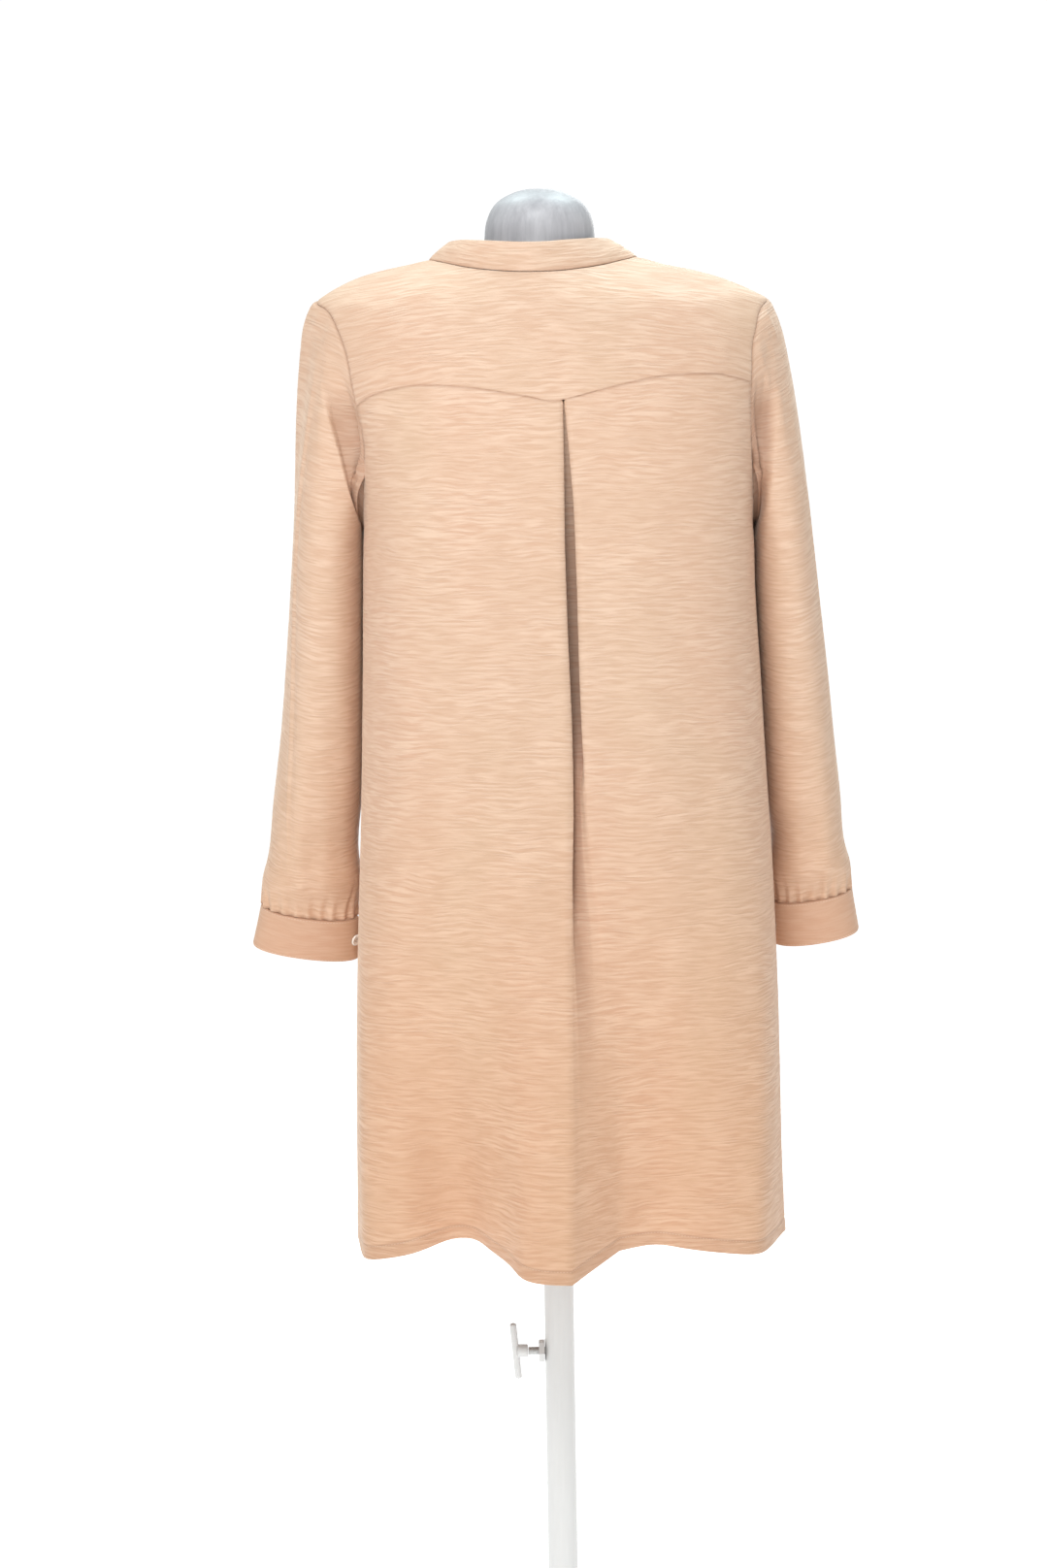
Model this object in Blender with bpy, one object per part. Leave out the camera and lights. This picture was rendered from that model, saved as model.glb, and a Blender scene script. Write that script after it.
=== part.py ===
# A long crinkle-crepe tunic blouse on a limbless dress form with a pole stand.
# Metres, +Z up. The front faces -Y and the wearer's left is +X.
# The origin is the middle of the base's underside, on the pole's axis.
# Side-to-side sizes in the tables run from the middle of the form's neck.

import math

import bpy
import numpy as np

for item in list(bpy.data.objects):
    bpy.data.objects.remove(item, do_unlink=True)

# Cloth
cloth_wall = 0.0012
band_wall = 0.0018
hem_wall = 0.0021
hem_height = 0.0125
seam_gap = 0.0003
underarm_height = 1.208
tip_height_left = 1.4151
tip_height_right = 1.4110
neck_point_height = 1.4490
notch_height = 1.266
notch_half_top = 0.008
notch_half_low = 0.004

# Stand
neck_to_pole = 0.002
base_radius = 0.150
base_thick = 0.008
hub_radius = 0.030
hub_height = 0.026
tube_radius = 0.014
tube_bore = 0.01275
tube_top = 0.600
inner_radius = 0.01245
inner_bore = 0.0110
inner_low = 0.250
inner_top = 0.885
socket_radius = 0.01275
socket_top = 0.900
form_low = 0.762
clamp_height = 0.4317
screw_radius = 0.0040
nut_radius = 0.0105
nut_thick = 0.0055
handle_start = 0.0300
handle_radius = 0.0068
handle_end = 0.0400
bar_radius = 0.0046
bar_length = 0.056
bar_tilt = math.radians(5.0)

# Rows and columns in the grids
left_cells = 15
right_cells = 12
yoke_rows = 8
back_rows = 7
front_rows = yoke_rows + back_rows
left_shoulder_cells = 7
right_shoulder_cells = 6
front_shoulder_cells = 5
front_cells = 10
front_low_rows = 10
pleat_cells = 12
sleeve_cells = 2 * front_rows
gather_cells = 2 * sleeve_cells
ridge_power = 1.25
back_levels = (1.150, 1.085, 1.030, 0.990, 0.962, 0.936, 0.910, 0.885, 0.858,
               0.820, 0.770, 0.715, 0.660, 0.610, 0.562)


def table(columns, rows):
    data = np.array(rows, float)
    return {name: data[:, i] for i, name in enumerate(columns)}


# Rings of the worn body: half width at the sides, depth behind and in front
body = table(
    ("z", "centre", "half", "back", "front", "back_square", "front_square"),
    (
        (0.5400, -0.0152, 0.2013, 0.131, 0.133, 2.80, 2.40),
        (0.6260, -0.0142, 0.1972, 0.130, 0.130, 2.85, 2.40),
        (0.7630, -0.0144, 0.1932, 0.129, 0.127, 2.90, 2.40),
        (0.8980, -0.0146, 0.1884, 0.128, 0.125, 2.90, 2.40),
        (0.9870, -0.0137, 0.1845, 0.127, 0.124, 2.90, 2.40),
        (1.0750, -0.0128, 0.1807, 0.126, 0.124, 2.90, 2.40),
        (1.1630, -0.0117, 0.1771, 0.125, 0.126, 2.90, 2.40),
        (1.2080, -0.0120, 0.1756, 0.124, 0.127, 2.90, 2.40),
        (1.2760, -0.0123, 0.1790, 0.1225, 0.1235, 2.85, 2.35),
        (1.3200, -0.0090, 0.1885, 0.119, 0.113, 2.65, 2.25),
        (1.3600, -0.0060, 0.2020, 0.1125, 0.0985, 2.30, 2.10),
        (1.3900, -0.0030, 0.2080, 0.105, 0.085, 1.95, 1.90),
        (1.4110, 0.0010, 0.2040, 0.097, 0.075, 1.62, 1.65),
        (1.4196, 0.0045, 0.1900, 0.092, 0.070, 1.48, 1.52),
        (1.4273, 0.0067, 0.1745, 0.087, 0.066, 1.38, 1.42),
        (1.4362, 0.0105, 0.1490, 0.080, 0.061, 1.30, 1.35),
        (1.4407, 0.0120, 0.1300, 0.076, 0.0585, 1.28, 1.33),
        (1.4443, 0.0110, 0.1135, 0.072, 0.0565, 1.28, 1.33),
        (1.4490, 0.0071, 0.0933, 0.066, 0.053, 1.28, 1.33),
        (1.4530, 0.0070, 0.0760, 0.060, 0.050, 1.28, 1.33),
    ),
)

# Armhole seam: how far down it is, and its angles from the middle of back and front
armhole = table(
    ("drop", "back_angle", "front_angle"),
    (
        (0.000, 90.0, 90.0),
        (0.045, 74.0, 73.0),
        (0.115, 64.5, 62.0),
        (0.260, 58.5, 54.0),
        (0.450, 60.5, 52.0),
        (0.660, 65.0, 55.0),
        (0.850, 73.0, 64.0),
        (0.970, 83.0, 79.0),
        (1.000, 90.0, 90.0),
    ),
)

# Neck seam: distance from the neck's middle, and its height behind and in front
neck = table(
    ("aside", "back_z", "front_z"),
    (
        (0.0000, 1.4352, 1.3850),
        (0.0200, 1.4358, 1.3872),
        (0.0400, 1.4378, 1.3950),
        (0.0600, 1.4408, 1.4090),
        (0.0770, 1.4450, 1.4270),
        (0.0880, 1.4478, 1.4410),
        (0.0933, 1.4490, 1.4490),
    ),
)
neck_middle = 0.0071

# Shaped yoke seam, from the wearer's right armhole to the left one
yoke_seam = table(
    ("x", "z"),
    (
        (-0.182, 1.3362),
        (-0.158, 1.3432),
        (-0.134, 1.3444),
        (-0.103, 1.3427),
        (-0.073, 1.3372),
        (-0.043, 1.3302),
        (-0.017, 1.3240),
        (-0.006, 1.3230),
        (0.016, 1.3273),
        (0.035, 1.3308),
        (0.061, 1.3351),
        (0.106, 1.3383),
        (0.146, 1.3318),
        (0.167, 1.3203),
    ),
)

# Box pleat: left fold edge, gap between the edges, return behind each edge,
# how far each side has opened, and the step from one layer to the next
pleat = table(
    ("z", "edge", "gap", "fold", "left_open", "right_open", "layer"),
    (
        (0.5450, -0.0120, 0.0440, 0.020, 1.0, 1.0, 0.0000),
        (0.6470, -0.0195, 0.0400, 0.020, 1.0, 1.0, 0.0012),
        (0.7550, -0.0179, 0.0370, 0.020, 1.0, 1.0, 0.0032),
        (0.8120, -0.0174, 0.0340, 0.020, 1.0, 1.0, 0.0042),
        (0.8600, -0.0180, 0.0280, 0.021, 0.85, 1.0, 0.0050),
        (0.9200, -0.0190, 0.0170, 0.022, 0.30, 0.70, 0.0050),
        (0.9750, -0.0199, 0.0090, 0.024, 0.00, 0.12, 0.0042),
        (1.0300, -0.0197, 0.0087, 0.026, 0.00, 0.00, 0.0036),
        (1.1100, -0.0175, 0.0093, 0.028, 0.00, 0.00, 0.0030),
        (1.1640, -0.0162, 0.0103, 0.029, 0.00, 0.00, 0.0028),
        (1.2180, -0.0156, 0.0095, 0.030, 0.00, 0.00, 0.0026),
        (1.2700, -0.0159, 0.0062, 0.030, 0.00, 0.00, 0.0024),
        (1.3240, -0.0158, 0.0018, 0.030, 0.00, 0.00, 0.0024),
    ),
)

# Hem folds behind, from the left side seam to the pleat and from the pleat on
hem_left = table(
    ("x", "y", "z"),
    (
        (0.1861, 0.000, 0.5470),
        (0.1730, 0.085, 0.5485),
        (0.1350, 0.100, 0.5560),
        (0.0820, 0.072, 0.5650),
        (0.0500, 0.112, 0.5560),
        (0.0220, 0.160, 0.5455),
        (-0.0120, 0.163, 0.5440),
    ),
)
hem_right = table(
    ("x", "y", "z"),
    (
        (-0.0560, 0.106, 0.5590),
        (-0.0880, 0.094, 0.5610),
        (-0.1250, 0.098, 0.5560),
        (-0.1800, 0.088, 0.5480),
        (-0.2165, 0.000, 0.5460),
    ),
)
hem_front = table(
    ("x", "y", "z"),
    (
        (0.1861, 0.000, 0.5470),
        (0.1720, -0.075, 0.5490),
        (0.1350, -0.118, 0.5520),
        (0.0980, -0.108, 0.5560),
        (0.0550, -0.136, 0.5500),
        (0.0080, -0.122, 0.5540),
        (-0.0450, -0.142, 0.5500),
        (-0.0920, -0.115, 0.5560),
        (-0.1400, -0.125, 0.5520),
        (-0.1900, -0.085, 0.5490),
        (-0.2165, 0.000, 0.5460),
    ),
)
back_fold_start = 1.00
front_fold_start = 1.06
fold_power = 1.6
hem_level = 0.545
hem_turn = 0.0006
pleat_top = 1.324
least_layer = 0.0024
front_reach = 0.175

# Collar band: how high it stands, and its top edge's size against the neck seam's
collar = {"back_rise": 0.0262, "front_rise": 0.0270, "side_rise": 0.0165, "half": 0.0933,
          "top_middle": 0.0102, "width": 0.755, "back": 0.875, "front": 0.885}

# Hanging sleeves: outer and inner edge from the middle, and front-to-back place
sleeve_left_rows = table(
    ("z", "outer", "inner", "y", "half_depth"),
    (
        (0.900, 0.2640, 0.1792, -0.040, 0.041),
        (0.950, 0.2567, 0.1768, -0.034, 0.050),
        (1.015, 0.2476, 0.1744, -0.028, 0.056),
        (1.080, 0.2402, 0.1722, -0.021, 0.060),
        (1.140, 0.2345, 0.1705, -0.014, 0.062),
        (1.190, 0.2300, 0.1690, -0.008, 0.062),
    ),
)
sleeve_right_rows = table(
    ("z", "outer", "inner", "y", "half_depth"),
    (
        (0.905, 0.2762, 0.2078, -0.042, 0.046),
        (0.950, 0.2710, 0.2050, -0.036, 0.052),
        (1.015, 0.2640, 0.2010, -0.029, 0.057),
        (1.080, 0.2570, 0.1975, -0.021, 0.061),
        (1.140, 0.2498, 0.1948, -0.014, 0.063),
        (1.190, 0.2440, 0.1928, -0.008, 0.063),
    ),
)
sleeve_square = 2.25
sleeve_head = {1: 0.32, -1: 0.42}
head_cells = 6
head_low = 1.190
hanging_levels = (1.130, 1.065, 1.000, 0.945)
# How the cloth turns over at the armhole seam, and by how much more below the arm
crest = {"out": 0.0015, "up": 0.0009, "start": 0.0045, "start_fold": 0.0033, "start_up": 0.0035}
gather_count = 20
gather_depth = 0.0019
gather_rise = 0.042

# Cuffs: middle of the top edge, half sizes above and below, and tilts in degrees
cuff = {
    1: {"x": 0.2262, "y": -0.040, "z": 0.8520, "half": 0.0443, "half_low": 0.0487,
        "depth": 0.0225, "depth_low": 0.0205, "splay": 8.0, "lean": 15.0},
    -1: {"x": 0.2442, "y": -0.044, "z": 0.8600, "half": 0.0380, "half_low": 0.0395,
         "depth": 0.0300, "depth_low": 0.0290, "splay": 8.0, "lean": 8.0},
}
cuff_height = 0.0425
cuff_square = 2.2
lap_start = 142.0
lap_end = 172.0
lap_rise = 0.0022
button_angle = 156.0
button_radius = 0.0055
button_thick = 0.0024

# Padded form: rings from the rounded neck down to the hips
form = table(
    ("z", "centre", "half", "back", "front", "square"),
    (
        (1.5104, 0.0006, 0.0130, 0.0130, 0.0130, 2.00),
        (1.5064, 0.0006, 0.0265, 0.0265, 0.0265, 2.00),
        (1.4990, 0.0006, 0.0387, 0.0387, 0.0387, 2.00),
        (1.4885, 0.0006, 0.0457, 0.0457, 0.0457, 2.00),
        (1.4770, 0.0008, 0.0489, 0.0489, 0.0489, 2.00),
        (1.4650, 0.0010, 0.0498, 0.0500, 0.0498, 2.00),
        (1.4540, 0.0020, 0.0530, 0.0530, 0.0505, 2.00),
        (1.4490, 0.0040, 0.0600, 0.0565, 0.0508, 2.05),
        (1.4460, 0.0070, 0.0790, 0.0600, 0.0500, 1.60),
        (1.4000, 0.0000, 0.1870, 0.0980, 0.0760, 1.75),
        (1.3850, -0.0020, 0.1820, 0.1015, 0.0810, 1.90),
        (1.3600, -0.0030, 0.1740, 0.1045, 0.0900, 2.10),
        (1.3200, -0.0020, 0.1600, 0.1040, 0.1010, 2.20),
        (1.2760, -0.0020, 0.1540, 0.1020, 0.1100, 2.20),
        (1.2200, -0.0020, 0.1500, 0.0980, 0.1090, 2.20),
        (1.1500, -0.0020, 0.1370, 0.0890, 0.0950, 2.15),
        (1.0500, -0.0020, 0.1250, 0.0820, 0.0860, 2.10),
        (0.9500, -0.0020, 0.1500, 0.0980, 0.0900, 2.15),
        (0.8700, -0.0020, 0.1600, 0.1020, 0.0900, 2.20),
        (0.8000, -0.0020, 0.1550, 0.0980, 0.0860, 2.20),
        (0.7680, -0.0020, 0.1500, 0.0940, 0.0820, 2.20),
        (0.7620, -0.0020, 0.1440, 0.0880, 0.0760, 2.20),
    ),
)
form_cells = 24
form_below_cloth = 0.0019
form_back_share = 0.97
form_front_share = 0.895
form_seat_heights = (1.4428, 1.4392, 1.4345, 1.4255, 1.4175, 1.4095)
form_top = 1.5112
form_widest = 0.187
underside_ring = 0.060

cloth_colour = (0.83, 0.60, 0.44)
form_colour = (0.55, 0.56, 0.57)
paint_colour = (0.80, 0.79, 0.77)
steel_colour = (0.60, 0.60, 0.60)
button_colour = (0.86, 0.70, 0.56)


# A smooth curve through a table's rows that never swings past them
def smooth(xs, ys, at):
    order = np.argsort(xs)
    xs = np.asarray(xs, float)[order]
    ys = np.asarray(ys, float)[order]
    step = np.diff(xs)
    slope = np.diff(ys) / step
    tangent = np.zeros(len(xs))
    tangent[0] = slope[0]
    tangent[-1] = slope[-1]
    for i in range(1, len(xs) - 1):
        if slope[i - 1] * slope[i] > 0:
            before = 2 * step[i] + step[i - 1]
            after = step[i] + 2 * step[i - 1]
            tangent[i] = (before + after) / (before / slope[i - 1] + after / slope[i])
    at = np.clip(np.asarray(at, float), xs[0], xs[-1])
    cell = np.clip(np.searchsorted(xs, at) - 1, 0, len(step) - 1)
    t = (at - xs[cell]) / step[cell]
    t2 = t * t
    t3 = t2 * t
    value = (2 * t3 - 3 * t2 + 1) * ys[cell] + (3 * t2 - 2 * t3) * ys[cell + 1]
    value += (t3 - 2 * t2 + t) * step[cell] * tangent[cell]
    value += (t3 - t2) * step[cell] * tangent[cell + 1]
    return value


def read(rows, name, z):
    return smooth(rows["z"], rows[name], z)


def unit(v):
    return v / np.maximum(np.linalg.norm(v, axis=-1, keepdims=True), 1e-12)


# Angle 0 is the middle of the back, 90 degrees the left side, 180 the middle of the front
def body_point(angle, z):
    angle = np.asarray(angle, float)
    z = np.asarray(z, float) + 0 * angle
    angle = angle + 0 * z
    s = np.sin(angle)
    c = np.cos(angle)
    square = np.where(c >= 0, read(body, "back_square", z), read(body, "front_square", z))
    depth = np.where(c >= 0, read(body, "back", z), read(body, "front", z))
    reach = (np.abs(s) ** square + np.abs(c) ** square) ** (-1 / square)
    x = read(body, "centre", z) + read(body, "half", z) * s * reach
    return np.stack([x, depth * c * reach, z], -1)


def body_normal(angle, z):
    turn = body_point(angle + 0.004, z) - body_point(angle - 0.004, z)
    rise = body_point(angle, z + 0.0006) - body_point(angle, z - 0.0006)
    return unit(np.cross(rise, turn))


def angle_at(x, z, face="back"):
    square = read(body, face + "_square", z)
    across = np.clip((x - read(body, "centre", z)) / read(body, "half", z), -1, 1)
    along = (1 - np.abs(across) ** square) ** (1 / square)
    return np.arctan2(across, along if face == "back" else -along)


def resample(points, values, count, power=1.0):
    length = np.concatenate([[0], np.cumsum(np.linalg.norm(np.diff(points, axis=0), axis=1))])
    at = length[-1] * np.linspace(0, 1, count) ** power
    return [np.interp(at, length, v) for v in values]


# Angles and heights along an armhole, from the shoulder tip down to the underarm
def armhole_path(side, face):
    tip = tip_height_left if side > 0 else tip_height_right
    row = np.arange(len(armhole["drop"]))
    at = np.linspace(0, row[-1], 400)
    z = tip - smooth(row, armhole["drop"], at) * (tip - underarm_height)
    angle = np.radians(smooth(row, armhole[face + "_angle"], at))
    if face == "front":
        angle = math.pi - angle
    return side * angle, z


def armhole_part(side, face, first, last, count, power=1.0):
    angle, z = armhole_path(side, face)
    keep = (z <= first) & (z >= last)
    angle = np.concatenate([[np.interp(-first, -z, angle)], angle[keep],
                            [np.interp(-last, -z, angle)]])
    z = np.concatenate([[first], z[keep], [last]])
    return resample(body_point(angle, z), [angle, z], count, power)


def seam_height(x):
    return smooth(yoke_seam["x"], yoke_seam["z"], x)


# Where the yoke seam meets each armhole
def seam_end(side):
    angle, z = armhole_path(side, "back")
    x = body_point(angle, z)[:, 0]
    return float(z[np.argmin(np.abs(z - seam_height(x)))])


def shoulder_line(side, count):
    tip = tip_height_left if side > 0 else tip_height_right
    z = np.linspace(tip, neck_point_height, 200)
    angle = np.full(200, side * math.pi / 2)
    return resample(body_point(angle, z), [angle, z], count)


# Neck seam from the shoulder to a place near the middle
def neck_line(side, face, end_x, count):
    turn = np.linspace(0, 1, 200)
    end = (end_x - neck_middle) * side
    aside = end + (neck["aside"][-1] - end) * np.cos(turn * math.pi / 2)
    z = smooth(neck["aside"], neck[face + "_z"], np.abs(aside))
    angle = angle_at(neck_middle + side * aside, z, face)
    if face == "front":
        angle = side * np.mod(side * angle, 2 * math.pi)
    return resample(body_point(angle, z), [angle, z], count)


# Fills a patch between its top edge, its bottom edge and a curved outer side
def patch(top, bottom, outer, rows, power=1.0):
    top = np.array(top).T
    bottom = np.array(bottom).T
    outer = np.array(outer).T
    grid = np.zeros((rows + 1, len(top), 2))
    for k in range(rows + 1):
        t = (k / rows) ** power
        straight = top * (1 - t) + bottom * t
        pull = 1 - np.linspace(0, 1, len(top))[:, None]
        grid[k] = straight + pull * (outer[k] - straight[0])
    return grid[:, :, 0], grid[:, :, 1]


# The same patch, filled between distances from the middle instead of angles
def patch_across(side, face, top, bottom, outer, rows, power=1.0):
    flat = []
    for angle, z in (top, bottom, outer):
        flat.append((body_point(np.asarray(angle), np.asarray(z))[:, 0], z))
    x, z = patch(*flat, rows, power)
    angle = angle_at(x, z, face)
    if face == "front":
        angle = side * np.mod(side * angle, 2 * math.pi)
    angle[0] = top[0]
    angle[-1] = bottom[0]
    angle[:, 0] = outer[0]
    return angle, z


# Cuts a four-sided face along its shorter diagonal
def split(face, points):
    if len(face) == 3:
        return [face]
    a, b, c, d = face
    if np.linalg.norm(points[a] - points[c]) <= np.linalg.norm(points[b] - points[d]):
        return [(a, b, c), (a, c, d)]
    return [(a, b, d), (b, c, d)]


# Gives a sheet its thickness; the faces run between the sheet's points
def thicken(points, normals, faces, outward, inward):
    count = len(points)
    outer = points + normals * np.reshape(outward, (-1, 1))
    inner = points - normals * np.reshape(inward, (-1, 1))
    verts = np.concatenate([outer, inner])
    faces = [half for face in faces for half in split(face, points)]
    a, b, c = faces[len(faces) // 2]
    facing = np.cross(points[b] - points[a], points[c] - points[a])
    if np.dot(facing, normals[a]) < 0:
        faces = [tuple(reversed(f)) for f in faces]
    edges = {(f[i - 1], f[i]): True for f in faces for i in range(len(f))}
    walls = [tuple(f) for f in faces]
    walls += [tuple(i + count for i in reversed(f)) for f in faces]
    for i, j in edges:
        if (j, i) not in edges:
            walls.append((j, i, i + count, j + count))
    return verts, walls


def grid_faces(rows, columns, wrap=False, skip=()):
    faces = []
    for k in range(rows - 1):
        for j in range(columns if wrap else columns - 1):
            if (k, j) in skip:
                continue
            n = (j + 1) % columns
            faces.append((k * columns + j, k * columns + n,
                          (k + 1) * columns + n, (k + 1) * columns + j))
    return faces


def material(name, colour, roughness, metallic):
    made = bpy.data.materials.new(name)
    made.use_nodes = True
    shader = made.node_tree.nodes["Principled BSDF"]
    shader.inputs["Base Color"].default_value = (*colour, 1)
    shader.inputs["Roughness"].default_value = roughness
    shader.inputs["Metallic"].default_value = metallic
    return made


def make(name, verts, faces, colour, roughness=0.85, metallic=0.0, sharp=50):
    mesh = bpy.data.meshes.new(name)
    moved = np.asarray(verts, float) + (neck_to_pole, 0, 0)
    mesh.from_pydata(moved.tolist(), [], [tuple(int(i) for i in f) for f in faces])
    mesh.shade_smooth()
    mesh.set_sharp_from_angle(angle=math.radians(sharp))
    mesh.materials.append(material(name, colour, roughness, metallic))
    made = bpy.data.objects.new(name, mesh)
    bpy.context.scene.collection.objects.link(made)
    return made


def sheet(name, points, normals, faces, wall=cloth_wall, inward=None):
    points = points.reshape(-1, 3)
    normals = normals.reshape(-1, 3)
    outward = np.full(len(points), wall / 2)
    inside = outward if inward is None else inward.reshape(-1)
    verts, walls = thicken(points, normals, faces, outward, inside)
    return make(name, verts, walls, cloth_colour)


def grid_normals(grid, wrap=False):
    along = np.gradient(grid, axis=0)
    if wrap:
        across = np.roll(grid, -1, axis=1) - np.roll(grid, 1, axis=1)
    else:
        across = np.gradient(grid, axis=1)
    return unit(np.cross(along, across))


# Pleat points across the back at height z, as distance along the cloth and depth behind it
def pleat_section(z):
    edge = read(pleat, "edge", z)
    gap = read(pleat, "gap", z)
    fold = read(pleat, "fold", z)
    layer = read(pleat, "layer", z)
    bend = max(layer, least_layer) / 2
    opened = {1: read(pleat, "left_open", z), -1: read(pleat, "right_open", z)}
    other = edge - gap
    step = (gap + 2 * bend) / pleat_cells
    left = []
    right = []
    for side, place, half in ((1, edge, left), (-1, other, right)):
        closed = [bend, 0, bend, fold - bend, fold, fold - bend]
        stacked = [0, 0.5, 1, 1, 1.5, 2]
        for i in range(6):
            shut = place + side * closed[i]
            spread = place + side * (bend - i * step)
            depth = stacked[i] + (0.4 * i - stacked[i]) * opened[side]
            half.append((shut + (spread - shut) * opened[side], -depth * layer))
    middle = [((edge + other) / 2, -2 * layer)]
    return left + middle + right[::-1]


def fold_amount(z, start, low):
    t = np.clip((start - z) / (start - low), 0, 1)
    return t ** fold_power


def hem_path(rows, count):
    row = np.arange(len(rows["x"]))
    at = np.linspace(0, row[-1], 300)
    points = np.stack([smooth(row, rows["x"], at), smooth(row, rows["y"], at),
                       smooth(row, rows["z"], at)], -1)
    flat = points * (1, 1, 0)
    return np.stack(resample(flat, list(points.T), count), -1)


left_seam_z = seam_end(1)
right_seam_z = seam_end(-1)
left_fold_x = pleat_section(pleat_top)[0][0]
right_fold_x = pleat_section(pleat_top)[-1][0]

# Seam angles and heights, outer edge first, on each side of the pleat
def seam_line(side):
    end = left_seam_z if side > 0 else right_seam_z
    angle, z = armhole_path(side, "back")
    outer = float(np.interp(-end, -z, angle))
    outer_x = body_point(outer, end)[0]
    inner_x = left_fold_x if side > 0 else right_fold_x
    cells = left_cells if side > 0 else right_cells
    x = np.linspace(outer_x, inner_x, cells + 1)
    z = seam_height(x)
    z[0] = end
    return angle_at(x, z), z


seams = {side: seam_line(side) for side in (1, -1)}


# Back yoke
def build_yoke():
    halves = {}
    for side in (1, -1):
        cells = left_cells if side > 0 else right_cells
        shoulder = left_shoulder_cells if side > 0 else right_shoulder_cells
        edge_x = left_fold_x if side > 0 else right_fold_x
        first = shoulder_line(side, shoulder + 1)
        second = neck_line(side, "back", edge_x, cells - shoulder + 1)
        top = [np.concatenate([first[i], second[i][1:]]) for i in (0, 1)]
        bottom = seams[side]
        tip = tip_height_left if side > 0 else tip_height_right
        outer = armhole_part(side, "back", tip, bottom[1][0], yoke_rows + 1, ridge_power)
        halves[side] = patch_across(side, "back", top, bottom, outer, yoke_rows, ridge_power)
    angle = np.concatenate([halves[1][0], halves[-1][0][:, ::-1]], axis=1)
    z = np.concatenate([halves[1][1], halves[-1][1][:, ::-1]], axis=1)
    points = body_point(angle, z)
    return points, body_normal(angle, z)


yoke_points, yoke_normals = build_yoke()


# Moves an edge row of a sheet back along the sheet by a part of the seam gap
def edge_direction(points, inner_points, normals):
    along = np.gradient(points, axis=0)
    side = unit(np.cross(normals, unit(along)))
    inward = inner_points - points
    flip = np.sign(np.sum(side * inward, axis=-1, keepdims=True))
    return side * flip


trimmed = yoke_points.copy()
trimmed[-1] += edge_direction(yoke_points[-1], yoke_points[-2], yoke_normals[-1]) * seam_gap / 2
trimmed[0, :left_shoulder_cells + 1, 1] += seam_gap / 2
trimmed[0, -right_shoulder_cells - 1:, 1] += seam_gap / 2
sheet("back_yoke", trimmed, yoke_normals, grid_faces(*yoke_points.shape[:2]))


# Below the underarm, front and back share one outward direction along the side seams
def side_seam_normals(grid, normal, start):
    for column, side in ((0, 1), (-1, -1)):
        run = np.gradient(grid[start:, column], axis=0)
        run[:, 1] = 0
        out = np.cross(unit(run), (0, 1, 0))
        out *= np.sign(out[:, :1]) * side
        normal[start + 1:, column] = unit(out)[1:]


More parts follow.
